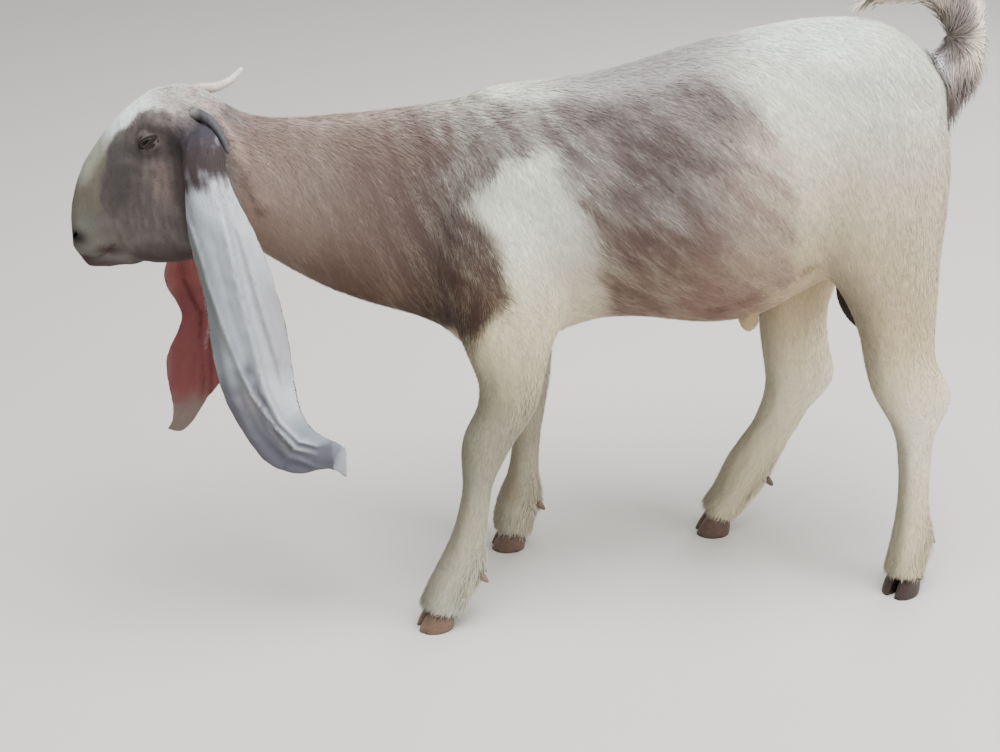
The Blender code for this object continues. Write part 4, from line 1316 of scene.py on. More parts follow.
# %% Materials
def new_material(name, roughness, **settings):
    """A Principled material; returns it, its tree and its shader."""
    material = bpy.data.materials.new(name)
    material.use_nodes = True
    tree = material.node_tree
    shader = tree.nodes["Principled BSDF"]
    shader.inputs["Roughness"].default_value = roughness
    for socket, value in settings.items():
        shader.inputs[socket.replace("_", " ")].default_value = value
    return material, tree, shader


def dyed_material(name, roughness, grain_size, grain_strength, bump, **settings):
    """Hair or skin that takes its colour from the dye of its mesh."""
    material, tree, shader = new_material(name, roughness, **settings)
    dye = tree.nodes.new("ShaderNodeAttribute")
    dye.attribute_name = DYE
    place = tree.nodes.new("ShaderNodeTexCoord")
    grain = tree.nodes.new("ShaderNodeGroup")
    grain.node_tree = HAIR_GRAIN
    tree.links.new(dye.outputs["Color"], grain.inputs["Dye"])
    tree.links.new(place.outputs["Object"], grain.inputs["Place"])
    grain.inputs["Size"].default_value = grain_size
    grain.inputs["Strength"].default_value = grain_strength
    tree.links.new(grain.outputs["Colour"], shader.inputs["Base Color"])
    if bump:
        add_relief(tree, shader, grain.outputs["Height"], bump, 0.8 * MM)
    return material


SKIN_MATERIAL = dyed_material("short hair on skin", 0.78, 900.0, 0.10, 0.35,
                              Specular_IOR_Level=0.25)
COAT_MATERIAL = dyed_material("coat hair", 0.62, 420.0, 0.10, 0.0,
                              Specular_IOR_Level=0.30)
print("materials:", SKIN_MATERIAL.name, "and", COAT_MATERIAL.name)


# %% Dye the skin
# The colours above are as they look in daylight. Light strays between hairs and comes
# out again, so the dye itself must be deeper than the look that is wanted.
STRAY_LIGHT = 0.80
DEPTH_OF_DYE = 1.72
SKIN_UNDER_HAIR = 0.92        # the skin is a little darker than its hair


def dye_mesh(mesh, colours):
    """Store a dye for each point of a mesh, from the colour it should look."""
    layer = mesh.color_attributes.new(DYE, "FLOAT_COLOR", "POINT")
    rgba = np.ones((len(colours), 4), np.float32)
    rgba[:, :3] = np.clip((np.clip(colours, 0, 1) / STRAY_LIGHT)**DEPTH_OF_DYE, 0, 0.9)
    layer.data.foreach_set("color", rgba.ravel())


dye_mesh(skin.data, skin_colour * SKIN_UNDER_HAIR)
cover(skin, SKIN_MATERIAL)
skin.data.shade_smooth()
skin.vertex_groups.clear()
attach(skin, "root")
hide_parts(*FLESH)
print("skin dyed")

# %% [markdown]
# ## The lie of the coat
# Hair doesn't stand up from the skin. It leans over and lies along the body, back and
# down, and down the legs. A short table names the places where its direction, length
# and loft are known, and every point of the skin takes a blend of the nearest places of its
# own part. Both sides of the goat share the table.

# %% Key places of the coat
# place (x, distance from the midline, z); direction (x, outwards, z);
# length, loft at the tip and width of a tuft in mm
LIE = {
    "head": {
        "upper lip": ((-0.462, 0.010, 0.445), (0.20, 0.50, -0.60), 2.6, 0.6, 0.55),
        "nose": ((-0.463, 0.008, 0.490), (-0.35, 0.10, -0.90), 3.2, 0.5, 0.60),
        "nose bridge": ((-0.430, 0.012, 0.540), (-0.60, 0.20, -0.75), 4.2, 0.7, 0.70),
        "forehead": ((-0.395, 0.010, 0.585), (-0.55, 0.25, -0.20), 7.0, 1.4, 0.80),
        "poll": ((-0.350, 0.010, 0.602), (0.95, 0.20, 0.00), 11.0, 2.6, 0.90),
        "brow": ((-0.372, 0.040, 0.580), (0.50, 0.50, 0.10), 4.5, 0.9, 0.65),
        "cheek": ((-0.390, 0.040, 0.510), (0.30, 0.10, -0.90), 5.2, 0.8, 0.75),
        "jaw": ((-0.360, 0.030, 0.440), (0.75, -0.10, -0.55), 6.5, 1.1, 0.80),
        "chin": ((-0.435, 0.008, 0.422), (0.70, 0.05, -0.55), 6.0, 1.3, 0.70),
        "temple": ((-0.340, 0.045, 0.560), (0.60, 0.20, -0.60), 7.0, 1.2, 0.80),
        "side of the muzzle": ((-0.440, 0.025, 0.470), (0.30, 0.10, -0.80), 3.2, 0.5, 0.60),
    },
    "neck": {
        "nape": ((-0.290, 0.010, 0.575), (0.95, 0.30, -0.15), 15.0, 3.2, 1.10),
        "crest": ((-0.180, 0.010, 0.575), (0.90, 0.40, -0.15), 17.0, 3.8, 1.20),
        "side": ((-0.230, 0.045, 0.500), (0.38, 0.00, -0.92), 15.0, 2.4, 1.15),
        "behind the jaw": ((-0.300, 0.035, 0.480), (0.55, 0.00, -0.80), 12.0, 2.0, 1.00),
        "throat": ((-0.250, 0.010, 0.410), (0.55, -0.20, -0.60), 15.0, 3.2, 1.10),
        "base": ((-0.140, 0.060, 0.470), (0.45, 0.00, -0.88), 17.0, 2.6, 1.20),
    },
    "trunk": {
        "withers": ((-0.040, 0.012, 0.598), (0.92, 0.38, -0.10), 18.0, 4.0, 1.25),
        "back": ((0.120, 0.012, 0.630), (0.94, 0.32, -0.05), 18.0, 3.6, 1.25),
        "croup": ((0.280, 0.020, 0.636), (0.88, 0.40, -0.20), 17.0, 3.0, 1.20),
        "rump": ((0.365, 0.035, 0.570), (0.35, 0.10, -0.90), 15.0, 2.8, 1.15),
        "shoulder": ((-0.050, 0.080, 0.480), (0.42, 0.00, -0.90), 16.0, 2.4, 1.15),
        "upper ribs": ((0.100, 0.080, 0.580), (0.78, 0.20, -0.58), 18.0, 2.6, 1.20),
        "ribs": ((0.120, 0.105, 0.480), (0.70, 0.00, -0.70), 18.0, 2.6, 1.20),
        "belly side": ((0.140, 0.090, 0.380), (0.80, -0.10, -0.50), 16.0, 2.6, 1.15),
        "belly": ((0.140, 0.010, 0.335), (0.90, 0.20, -0.10), 14.0, 3.0, 1.15),
        "flank": ((0.255, 0.085, 0.470), (0.62, 0.00, -0.78), 16.0, 2.4, 1.15),
        "brisket": ((-0.080, 0.020, 0.330), (0.50, -0.10, -0.80), 20.0, 4.5, 1.20),
        "breast": ((-0.115, 0.020, 0.370), (0.15, 0.25, -0.95), 18.0, 3.4, 1.20),
        "hip": ((0.270, 0.075, 0.580), (0.55, 0.15, -0.80), 16.0, 2.4, 1.15),
    },
    "fore": {
        "upper arm": ((-0.050, 0.090, 0.390), (0.30, 0.00, -0.95), 14.0, 2.4, 1.10),
        "forearm": ((-0.070, 0.085, 0.290), (0.12, 0.00, -1.00), 11.0, 1.8, 1.00),
        "back of the forearm": ((-0.010, 0.070, 0.280), (0.35, 0.00, -0.95), 15.0, 3.6, 1.10),
        "knee": ((-0.080, 0.075, 0.220), (0.05, 0.00, -1.00), 8.0, 1.3, 0.90),
        "cannon": ((-0.080, 0.080, 0.150), (0.05, 0.00, -1.00), 8.0, 1.3, 0.90),
        "pastern": ((-0.110, 0.085, 0.065), (0.00, 0.15, -1.00), 11.0, 2.8, 0.95),
    },
    "hind": {
        "thigh": ((0.300, 0.090, 0.460), (0.35, 0.00, -0.93), 15.0, 2.4, 1.15),
        "buttock": ((0.370, 0.060, 0.450), (0.10, 0.00, -1.00), 17.0, 3.2, 1.20),
        "stifle": ((0.250, 0.085, 0.390), (0.35, 0.00, -0.93), 14.0, 2.6, 1.10),
        "gaskin": ((0.330, 0.080, 0.300), (0.15, 0.00, -1.00), 12.0, 2.0, 1.00),
        "hock": ((0.340, 0.075, 0.225), (0.05, 0.00, -1.00), 8.5, 1.5, 0.90),
        "shank": ((0.320, 0.075, 0.140), (0.05, 0.00, -1.00), 8.0, 1.4, 0.90),
        "fetlock": ((0.300, 0.080, 0.065), (0.00, 0.15, -1.00), 12.0, 3.2, 0.95),
    },
}
LIE_REACH = 0.034
HAIR_SCALE = np.array((0.74, 0.50, 0.72))     # of length, loft and width
PARTS_OF_LIE = {"head": ("head", "eye_left", "eye_right"), "neck": ("neck",),
                "trunk": ("trunk", "sheath"), "fore": LEGS[:2], "hind": LEGS[2:]}


def blend_lie(points, keys):
    """Direction (3), length, loft and width at points, from the key places of one part."""
    side = np.where(points[:, 1] < 0, -1.0, 1.0)
    folded = np.column_stack((points[:, 0], np.abs(points[:, 1]), points[:, 2]))
    places = [row[0] for row in keys.values()]
    values = [(*row[1], *(np.array(row[2:]) * HAIR_SCALE)) for row in keys.values()]
    mixed = nearest_mix(folded, places, values, LIE_REACH)
    mixed[:, 1] *= side
    return mixed


def leg_axis_points(leg):
    """The middle of a leg at a few levels, from its solid."""
    low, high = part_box(leg)
    co = np.array([v.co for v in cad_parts[leg].data.vertices])
    middles = []
    for level in np.linspace(low.z + 0.012, high.z - 0.05, 9):
        near = co[np.abs(co[:, 2] - level) < 0.02]
        middles.append((*((near.min(axis=0) + near.max(axis=0))[:2] / 2), level))
    return np.array(middles)


backs = np.zeros(surface.count)     # 1 on the back of a leg
FETLOCK_EXTRA = (7.0, 3.0)          # mm of length and loft behind a fetlock


def coat_fields():
    """Direction, length, loft and width of the coat at every point of the skin."""
    fields = np.zeros((surface.count, 6))
    weights = np.zeros(surface.count)
    for group, names in PARTS_OF_LIE.items():
        weight = own_share(names, 12)
        near = weight > 0.002
        fields[near] += blend_lie(surface.place[near], LIE[group]) * weight[near, None]
        weights += weight
    for leg in LEGS:
        weight = own_share((leg,), 12)
        line = leg_axis_points(leg)
        slope = np.gradient(line, axis=0)
        lean = np.column_stack([np.interp(surface.place[:, 2], line[:, 2], -slope[:, k])
                                for k in range(3)])
        lean = unit(lean) - np.array((0.0, 0.0, -1.0))
        low = 1 - smoothstep(0.25, 0.42, surface.place[:, 2])
        fields[:, :3] += lean * (weight * low)[:, None]
        centre = np.column_stack([np.interp(surface.place[:, 2], line[:, 2], line[:, k])
                                  for k in range(2)])
        behind = smoothstep(0.0, 0.018, surface.place[:, 0] - centre[:, 0])
        fetlock = np.exp(-0.5 * ((surface.place[:, 2] - 0.070) / 0.022)**2)
        backs[:] = np.maximum(backs, weight * behind)
        extra = weight * behind * fetlock
        fields[:, 3] += FETLOCK_EXTRA[0] * extra
        fields[:, 4] += FETLOCK_EXTRA[1] * extra
    for side in EYES:
        name = "ear_" + side
        weight = own_share((name,), 6)
        along, _ = ear_coordinates(side, surface.place)
        line = np.array(EAR_LINES[side])
        step = np.linspace(0, 1, len(line))
        slope = np.gradient(line, axis=0)
        way = unit(np.column_stack([np.interp(along, step, slope[:, k]) for k in range(3)]))
        length = 9.0 - 5.8 * smoothstep(0.05, 0.28, along)
        rows = np.column_stack((way, length, np.full(surface.count, 0.35) + 0.6 * (along < 0.2),
                                np.full(surface.count, 0.55)))
        fields += rows * weight[:, None]
        weights += weight
    return fields, weights


fields, weights = coat_fields()
print("lie of the coat at", surface.count, "points")


# %% The tail's fringe and the whorls
# middle (x, distance from the midline, z), reach: hair fans out from these
WHORLS = {"forehead": ((-0.398, 0.0, 0.586), 0.016),
          "point of the shoulder": ((-0.048, 0.085, 0.372), 0.022)}


def add_tail():
    weight = own_share(("tail",), 8)
    away = surface.place - TAIL_MIDDLE
    away[:, 1] *= 0.6
    outward = unit(away)
    turn = np.cross(outward, np.array((0.0, -1.0, 0.0)))
    radius = np.linalg.norm(away, axis=1)
    fringe = smoothstep(0.056, 0.074, radius)
    curl = 1 - 2 * smoothstep(0.595, 0.628, surface.place[:, 2])
    way = turn * (curl * (1 - 0.5 * fringe))[:, None]
    way = way + outward * (0.40 + 0.60 * fringe)[:, None]
    rows = np.column_stack((way, 17 + 5 * fringe, 4.5 + 5.5 * fringe,
                            np.full(surface.count, 1.15)))
    fields[:] = fields + rows * weight[:, None]
    weights[:] = weights + weight


def add_whorls():
    for place, reach in WHORLS.values():
        for mirror in (1.0, -1.0):
            middle = np.array(place) * np.array((1.0, mirror, 1.0))
            away = surface.place - middle
            near = np.exp(-0.5 * (away**2).sum(axis=1) / reach**2)
            fields[:, :3] += unit(away) * (1.6 * near)[:, None]


add_tail()
fields /= np.maximum(weights, 1e-6)[:, None]
add_whorls()
fields = surface.spread(fields, 4)
lie = fields[:, :3] - surface.normal * (fields[:, :3] * surface.normal).sum(axis=1)[:, None]
lie = unit(lie)
print("tuft length", fields[:, 3].min().round(1), "to", fields[:, 3].max().round(1), "mm")

# %% [markdown]
# ## Tufts
# Most tufts are the plainest closed wedge there is, a three-cornered root sunk in the skin
# and one tip: four triangles, so that about 300,000 of them fit. The tip is laid back on
# the skin at its own loft, so the tuft follows the body round a leg or over the rump.
# Longer hair, on the tail, on the poll and round the feet, is bent: it has a three-cornered
# waist as well. The roots are thrown at random over the skin, thickest where hair is
# shortest, and all the tufts of a region are joined in one mesh.

# %% Shapes of a tuft
ROOT_DEPTH = 0.4 * MM
PATCH = 0.003


class Tuft:
    """A closed wedge: rings of three points from the root on, then the tip."""

    def __init__(self, rings):
        self.rings = rings
        self.points = 3 * len(rings) + 1
        tip = self.points - 1
        faces = [(0, 2, 1)]
        for k in range(len(rings) - 1):
            low, high = 3 * k, 3 * k + 3
            for i, j in ((0, 1), (1, 2), (2, 0)):
                faces += [(low + i, low + j, high + j), (low + i, high + j, high + i)]
        last = tip - 3
        faces += [(last, last + 1, tip), (last + 1, last + 2, tip), (last + 2, last, tip)]
        self.faces = np.array(faces)
        plan = []
        for k in range(len(rings)):
            level = 0.1 + 0.8 * k / len(rings)
            plan += [(0.1, level), (0.5, level + 0.2), (0.9, level)]
        self.plan = (np.array(plan + [(0.5, 0.95)]) - 0.5) * PATCH


# how far along each ring is, how wide, and its shade
STRAIGHT = Tuft([(0.0, 0.50, 0.91)])
BENT = Tuft([(0.0, 0.50, 0.88), (0.45, 0.42, 0.98)])
TIP_SHADE = 1.04
skin_search = BVHTree.FromPolygons(surface.place.tolist(), surface.faces.tolist())


def on_skin(points):
    """The nearest points of the skin, and its normals there."""
    found = [skin_search.find_nearest(p) for p in points.tolist()]
    places = np.array([tuple(f[0]) for f in found])
    corners = surface.faces[[f[2] for f in found]]
    return places, unit(surface.normal[corners].sum(axis=1))


print(len(STRAIGHT.faces), "triangles to a straight tuft,", len(BENT.faces), "to a bent one")


# %% Growing a region of the coat
CORONET = 0.050             # below this height hair hangs free, over the claws
FREE_GROUND = 3.0 * MM      # and stops this far above the floor


def mesh_from_arrays(name, points, faces, plan, colours, normals):
    """A mesh of triangles with a plan, a dye and soft normals."""
    mesh = bpy.data.meshes.new(name)
    mesh.vertices.add(len(points))
    mesh.vertices.foreach_set("co", points.astype(np.float32).ravel())
    mesh.loops.add(faces.size)
    mesh.loops.foreach_set("vertex_index", faces.astype(np.int32).ravel())
    mesh.polygons.add(len(faces))
    mesh.polygons.foreach_set("loop_start", np.arange(0, faces.size, 3, dtype=np.int32))
    mesh.update(calc_edges=True)
    layer = mesh.uv_layers.new(name=PLAN)
    layer.data.foreach_set("uv", plan[faces.ravel()].astype(np.float32).ravel())
    dye_mesh(mesh, colours)
    mesh.shade_smooth()
    mesh.normals_split_custom_set_from_vertices(normals.astype(np.float32))
    return mesh


def scatter(chosen, density, count, rng):
    """Random places on the chosen triangles: triangle, and share of each corner."""
    weight = surface.area[chosen] * density[surface.faces[chosen]].mean(axis=1)
    pick = chosen[rng.choice(len(chosen), count, p=weight / weight.sum())]
    u, v = rng.random((2, count))
    flip = u + v > 1
    u, v = np.where(flip, 1 - u, u), np.where(flip, 1 - v, v)
    return pick, np.column_stack((1 - u - v, u, v))


def blend_corners(values, pick, shares):
    return (values[surface.faces[pick]] * shares[:, :, None]).sum(axis=1)


# how hair runs in the side view (x, z), to draw streaks along it
FLOWS = {"coat_neck": (0.38, -0.92), "coat_trunk_left": (0.72, -0.69),
         "coat_trunk_right": (0.72, -0.69), "coat_tail": (0.60, 0.80)}


def streaks(name, root):
    """Locks of hair a few millimetres wide, -1 to 1, running with the coat."""
    ahead = np.array(FLOWS.get(name, (0.05, -1.0)))
    along = root[:, [0, 2]] @ ahead
    over = root[:, [0, 2]] @ np.array((-ahead[1], ahead[0]))
    wide = np.column_stack((along / 12, over, root[:, 1] / 3))
    return 0.6 * mottle(wide, 0.0036, 1.0) + 0.7 * mottle(wide, 0.0090, 8.0)


def dye_tufts(name, root, pick, shares, rng):
    """The colour of each tuft: a chance mix of white and brown hair, light or dark."""
    white = blend_corners(white_hair, pick, shares)
    brown = blend_corners(brown_hair, pick, shares)
    share = blend_corners(brown_share[:, None], pick, shares)[:, 0]
    unsure = 0.25 * share + 1.9 * share * (1 - share)
    lock = streaks(name, root)
    share = np.clip(share + (0.7 * (rng.random(len(share)) - 0.5) + 0.80 * lock) * unsure, 0, 1)
    tone = 1 + 0.06 * rng.standard_normal(len(share)) + 0.07 * lock
    return (white + (brown - white) * share[:, None]) * np.clip(tone, 0.6, 1.5)[:, None]


def grow_tufts(name, shape, chosen, count, density, seed):
    rng = np.random.default_rng(seed)
    pick, shares = scatter(chosen, density, count, rng)
    root = blend_corners(surface.place, pick, shares)
    normal = unit(blend_corners(surface.normal, pick, shares))
    way = blend_corners(lie, pick, shares)
    length, loft, width = (blend_corners(fields[:, 3:], pick, shares) * MM).T
    length = length * rng.uniform(0.65, 1.3, count)
    loft = loft * rng.uniform(0.3, 1.5, count)
    width = width * rng.uniform(0.7, 1.3, count)
    if shape is BENT:
        length, loft, width = length * 1.25, loft * 1.25, width * 1.2
    aside = np.cross(way, normal)
    way = unit(way + aside * (rng.standard_normal(count) * 0.16)[:, None])
    aside = np.cross(way, normal)
    free = root[:, 2] < CORONET

    points = np.empty((count, shape.points, 3))
    soft = np.empty((count, shape.points, 3))
    for k, (along, wide, _) in enumerate((*shape.rings, (1.0, 0.0, 0.0))):
        middle, up = root - normal * ROOT_DEPTH, normal
        if along:
            rise = (loft * min(1.0, 0.15 + along * 0.95))[:, None]
            straight = root + way * (along * length)[:, None] + normal * rise
            laid, up = on_skin(straight)
            laid = laid + up * (0.1 * MM + rise)
            middle = np.where(free[:, None], straight, laid)
            up = np.where(free[:, None], normal, up)
            middle[:, 2] = np.maximum(middle[:, 2], FREE_GROUND)
        first = 3 * k
        if not wide:
            points[:, first] = middle
            soft[:, first] = unit(up + way * 0.12)
            break
        half = aside * (width * wide)[:, None]
        points[:, first] = middle - half
        points[:, first + 1] = middle + up * (0.24 * width)[:, None]
        points[:, first + 2] = middle + half
        soft[:, first] = unit(up * 0.95 - aside * 0.30)
        soft[:, first + 1] = up
        soft[:, first + 2] = unit(up * 0.95 + aside * 0.30)

    shade = np.array([ring[2] for ring in shape.rings for _ in range(3)] + [TIP_SHADE])
    colours = dye_tufts(name, root, pick, shares, rng)[:, None, :] * shade[None, :, None]
    plan = (skin_plan[pick] * shares[:, :, None]).sum(axis=1)
    plan = plan[:, None, :] + shape.plan[None]
    faces = shape.faces[None] + (np.arange(count) * shape.points)[:, None, None]
    mesh = mesh_from_arrays(name, points.reshape(-1, 3), faces.reshape(-1, 3),
                            plan.reshape(-1, 2), colours.reshape(-1, 3),
                            soft.reshape(-1, 3))
    mesh.materials.append(COAT_MATERIAL)
    return link(name, mesh)


print("ready to grow")

# %% Regions of the coat
# name: parts, side (-1 left, 1 right, 0 both), tufts, material slot
REGIONS = {
    "coat_face": (("head", "eye_left", "eye_right"), 0, 45000, "coat_face"),
    "coat_neck": (("neck",), 0, 40000, "coat_body"),
    "coat_trunk_left": (("trunk", "sheath"), -1, 47000, "coat_body"),
    "coat_trunk_right": (("trunk",), 1, 38000, "coat_body"),
    "coat_foreleg_left": (("foreleg_left",), 0, 22000, "coat_body"),
    "coat_foreleg_right": (("foreleg_right",), 0, 18000, "coat_body"),
    "coat_hindleg_left": (("hindleg_left",), 0, 28000, "coat_body"),
    "coat_hindleg_right": (("hindleg_right",), 0, 24000, "coat_body"),
    "coat_ears": (("ear_left", "ear_right"), 0, 24000, "coat_ear"),
}
LONG_REGIONS = {
    "coat_tail": (("tail",), 6500, "coat_tail"),
    "coat_feather": (LEGS, 9500, "coat_body"),
    "coat_poll": (("head",), 3000, "coat_face"),
}
BARE_RIM = (2.0 * MM, 2.2 * MM)       # beside and above the slit of the lids
BARE_NOSTRIL = 0.0065
EAR_EDGE_BELOW = 0.520                # the rim of an ear stays bare below this height
# where the long hair of the poll grows: middle, reach
POLL_HAIR = (((-0.333, -0.024, 0.585), 0.009), ((-0.336, 0.018, 0.595), 0.010),
             ((-0.350, 0.000, 0.603), 0.016), ((-0.318, 0.000, 0.600), 0.014))
# where long hair grows on the legs: share, height, reach
CORONET_HAIR = (1.0, 0.036, 0.010)
FETLOCK_HAIR = (0.9, 0.070, 0.018)


def near_openings(points):
    """True where a point is on or inside the rim of an eye or a nostril."""
    bare = np.zeros(len(points), bool)
    for side in EYES:
        along, up, ahead = from_eye(side, points)
        slit = np.hypot(along / (SLIT_HALF_LENGTH + BARE_RIM[0]),
                        up / (UPPER_LID_OPEN + BARE_RIM[1]))
        bare |= (slit < 1.05) & (ahead > 0)
        bare |= np.linalg.norm(points - np.array(NOSTRILS[side]), axis=1) < BARE_NOSTRIL
    return bare


def edge_of_ear():
    """True for the narrow faces along the rim of an ear, where a tuft would stick out."""
    normal = unit(surface.normal[surface.faces].sum(axis=1))
    on_ear = np.isin(part[surface.faces[:, 0]], [PARTS["ear_left"], PARTS["ear_right"]])
    low = surface.place[surface.faces[:, 0], 2] < EAR_EDGE_BELOW
    return on_ear & low & (np.abs(normal[:, 1]) < 0.6)


def poll_density():
    """Longer hair round the roots of the horns and along the poll."""
    place = surface.place
    dense = np.zeros(len(place))
    for middle, reach in POLL_HAIR:
        away = (place - np.array(middle)) / reach
        dense += np.exp(-0.5 * (away**2).sum(axis=1))
    return dense + 1e-6


def feather_density():
    """Where long hair stands out on the legs: behind the fetlocks and at the coronets."""
    level = surface.place[:, 2]

    def belt(share, height, reach):
        return share * np.exp(-0.5 * ((level - height) / reach)**2)

    dense = belt(*CORONET_HAIR)
    dense += belt(*FETLOCK_HAIR) * backs
    dense += 0.25 * backs * smoothstep(0.10, 0.20, level) * (1 - smoothstep(0.30, 0.36, level))
    return dense


def grow_coat():
    face_middle = surface.place[surface.faces].mean(axis=1)
    face_part = part[surface.faces[:, 0]]
    bare = near_openings(face_middle) | edge_of_ear()
    density = 1 / np.maximum(fields[:, 3], 2.5)
    share = 1
    jobs = [(name, STRAIGHT, *row, density) for name, row in REGIONS.items()]
    dense = {"coat_tail": density, "coat_feather": feather_density(),
             "coat_poll": poll_density()}
    jobs += [(name, BENT, parts, 0, count, slot, dense[name])
             for name, (parts, count, slot) in LONG_REGIONS.items()]
    pieces = []
    for seed, (name, shape, parts, side, count, slot, dense) in enumerate(jobs):
        mine = np.isin(face_part, [PARTS[p] for p in parts]) & ~bare
        if side:
            mine &= face_middle[:, 1] * side >= 0
        count = int(count * share)
        piece = grow_tufts(name, shape, np.nonzero(mine)[0], count, dense, 100 + seed)
        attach(piece, "root")
        pieces.append(piece)
        print(f"{name}: {count} tufts on {surface.area[mine].sum() * 1e4:.0f} square cm")
    return pieces


coat = grow_coat()
print("triangles in all:", sum(len(p.data.polygons) for p in coat))

# %% [markdown]
# ## Horns
# The kid's horns are only buds that have grown out: the left one lies back over the root of
# the ear, slate grey and polished, and the right one sweeps up behind the poll, pale. Their
# difference is partly painted light: the left one is darkened as in shade, the right one
# lightened as in sunlight from behind. The solids already have the sweep, so merged copies
# are smoothed with Subdivision Surface and the growth rings are pushed out along the horn.

# %% Horns
# colour at the root, colour at the tip, roughness, shares of the length between them
# the left horn's dark slate is partly painted shade, the right horn's pale partly painted sunlight
# from behind
HORN_LOOKS = {"left": ((0.270, 0.255, 0.245), (0.060, 0.059, 0.068), 0.68, (0.22, 0.40)),
              "right": ((0.300, 0.215, 0.185), (0.640, 0.610, 0.570), 0.45, (0.0, 1.0))}
RING_SPACING = 3.4 * MM
RING_HEIGHT = 0.22 * MM


def push_out(thing, amount):
    """Move each point along its normal by what amount says of its place."""
    mesh = thing.data
    places = read(mesh.vertices, "co", 3).astype(float)
    normals = read(mesh.vertices, "normal", 3).astype(float)
    store_places(mesh, places + normals * amount(places)[:, None])


def horn_material(side, low, high):
    root, tip, roughness, (start, stop) = HORN_LOOKS[side]
    span = high.x - low.x
    material, tree, shader = new_material("horn " + side, roughness,
                                          Specular_IOR_Level=0.30)
    place = tree.nodes.new("ShaderNodeTexCoord")
    split = add_node(tree, "ShaderNodeSeparateXYZ", Vector=place.outputs["Object"])
    along = add_node(tree, "ShaderNodeMapRange", Value=split.outputs["X"],
                     From_Min=low.x + start * span, From_Max=low.x + stop * span)
    streak = add_node(tree, "ShaderNodeTexNoise", Vector=place.outputs["Object"],
                      Scale=260.0, Detail=4.0)
    mix = tree.nodes.new("ShaderNodeMix")
    mix.data_type = "RGBA"
    tree.links.new(along.outputs["Result"], mix.inputs["Factor"])
    colour_in = [s for s in mix.inputs if s.type == "RGBA"]
    colour_in[0].default_value = (*root, 1)
    colour_in[1].default_value = (*tip, 1)
    mixed = [s for s in mix.outputs if s.type == "RGBA"][0]
    tone = scale_colour(tree, mixed, widen(tree, streak, 0.75, 1.2))
    tree.links.new(tone, shader.inputs["Base Color"])
    add_relief(tree, shader, streak.outputs["Fac"], 0.25, 0.4 * MM)
    return material


def make_horns():
    for side in EYES:
        node = "horn_" + side
        low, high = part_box(node)
        horn = smooth_copy(node, "horn_sheath_" + side, 2)
        root = np.array((low.x, 0.0, low.z))

        def ring(places):
            travel = np.linalg.norm(places - root, axis=1)
            fade = 1 - smoothstep(0.035, 0.060, travel)
            return RING_HEIGHT * np.sin(math.tau * travel / RING_SPACING) * fade

        push_out(horn, ring)
        cover(horn, horn_material(side, low, high))
        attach(horn, "root")
        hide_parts(node)
        print(horn.name, len(horn.data.polygons), "faces")


make_horns()

# %% [markdown]
# ## Claws
# A goat walks on two claws to a foot, each a horn shoe round a soft pad, and has two small
# dewclaws behind the fetlock. Merged copies of the solids keep the sharp edge of the
# sole by a crease, and are rounded elsewhere. Fine level lines show how the horn grew.

# %% Claws and dewclaws
# colour by leg: horn, rim at the hair
CLAW_COLOURS = {
    "foreleg_left": ((0.150, 0.090, 0.056), (0.170, 0.110, 0.080)),
    "foreleg_right": ((0.110, 0.060, 0.042), (0.125, 0.075, 0.057)),
    "hindleg_left": ((0.030, 0.016, 0.012), (0.050, 0.030, 0.024)),
    "hindleg_right": ((0.090, 0.050, 0.037), (0.105, 0.064, 0.050)),
}


def claw_material(leg):
    horn, rim = CLAW_COLOURS[leg]
    material, tree, shader = new_material("claw of " + leg, 0.48)
    place = tree.nodes.new("ShaderNodeTexCoord")
    stretch = add_node(tree, "ShaderNodeMapping", Vector=place.outputs["Object"],
                       Scale=(1.0, 1.0, 6.0))
    grain = add_node(tree, "ShaderNodeTexNoise", Vector=stretch.outputs["Vector"],
                     Scale=140.0, Detail=5.0)
    split = add_node(tree, "ShaderNodeSeparateXYZ", Vector=place.outputs["Object"])
    height = add_node(tree, "ShaderNodeMapRange", Value=split.outputs["Z"],
                      From_Min=0.010, From_Max=0.034)
    ramp = tree.nodes.new("ShaderNodeValToRGB")
    ramp.color_ramp.elements[0].color = (*horn, 1)
    ramp.color_ramp.elements[1].color = (*rim, 1)
    tree.links.new(height.outputs["Result"], ramp.inputs["Fac"])
    tone = scale_colour(tree, ramp.outputs["Color"], widen(tree, grain, 0.70, 1.25))
    tree.links.new(tone, shader.inputs["Base Color"])
    add_relief(tree, shader, grain.outputs["Fac"], 0.5, 0.6 * MM)
    return material


def rounded_claw(node, name):
    bm = merged_bmesh(node)
    crease = bm.edges.layers.float.new("crease_edge")
    for edge in bm.edges:
        if all(v.co.z < 0.0005 for v in edge.verts) and edge.calc_face_angle(0) > 0.5:
            edge[crease] = 0.85
    thing = round_off(link(name, mesh_of(bm, name)), 2)
    thing.data.set_sharp_from_angle(angle=math.radians(55))
    return thing


def growth_lines(places):
    rings = np.sin(math.tau * places[:, 2] / (3.2 * MM) + 2.0 * mottle(places, 0.01))
    return 0.14 * MM * rings * smoothstep(0.004, 0.008, places[:, 2])


def make_claws():
    for leg in LEGS:
        material = claw_material(leg)
        for kind in ("claw", "dewclaw"):
            for word in ("inner", "outer"):
                node = f"{kind}_{word}_{leg}"
                piece = rounded_claw(node, f"horn_{node}")
                if kind == "claw":
                    push_out(piece, growth_lines)
                cover(piece, material)
                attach(piece, "root")
                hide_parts(node)
    print("8 claws and 8 dewclaws")


make_claws()

# %% [markdown]
# ## Eyes
# The iris is very dark brown, nearly black, round a level slit for a pupil, under a clear
# bulge: painted shade, as the eye lies deep under its lids. The ball is one sphere. The pattern
# is drawn on a plan of its own, looking straight into the eye, so that it can be told by
# distances from the middle.

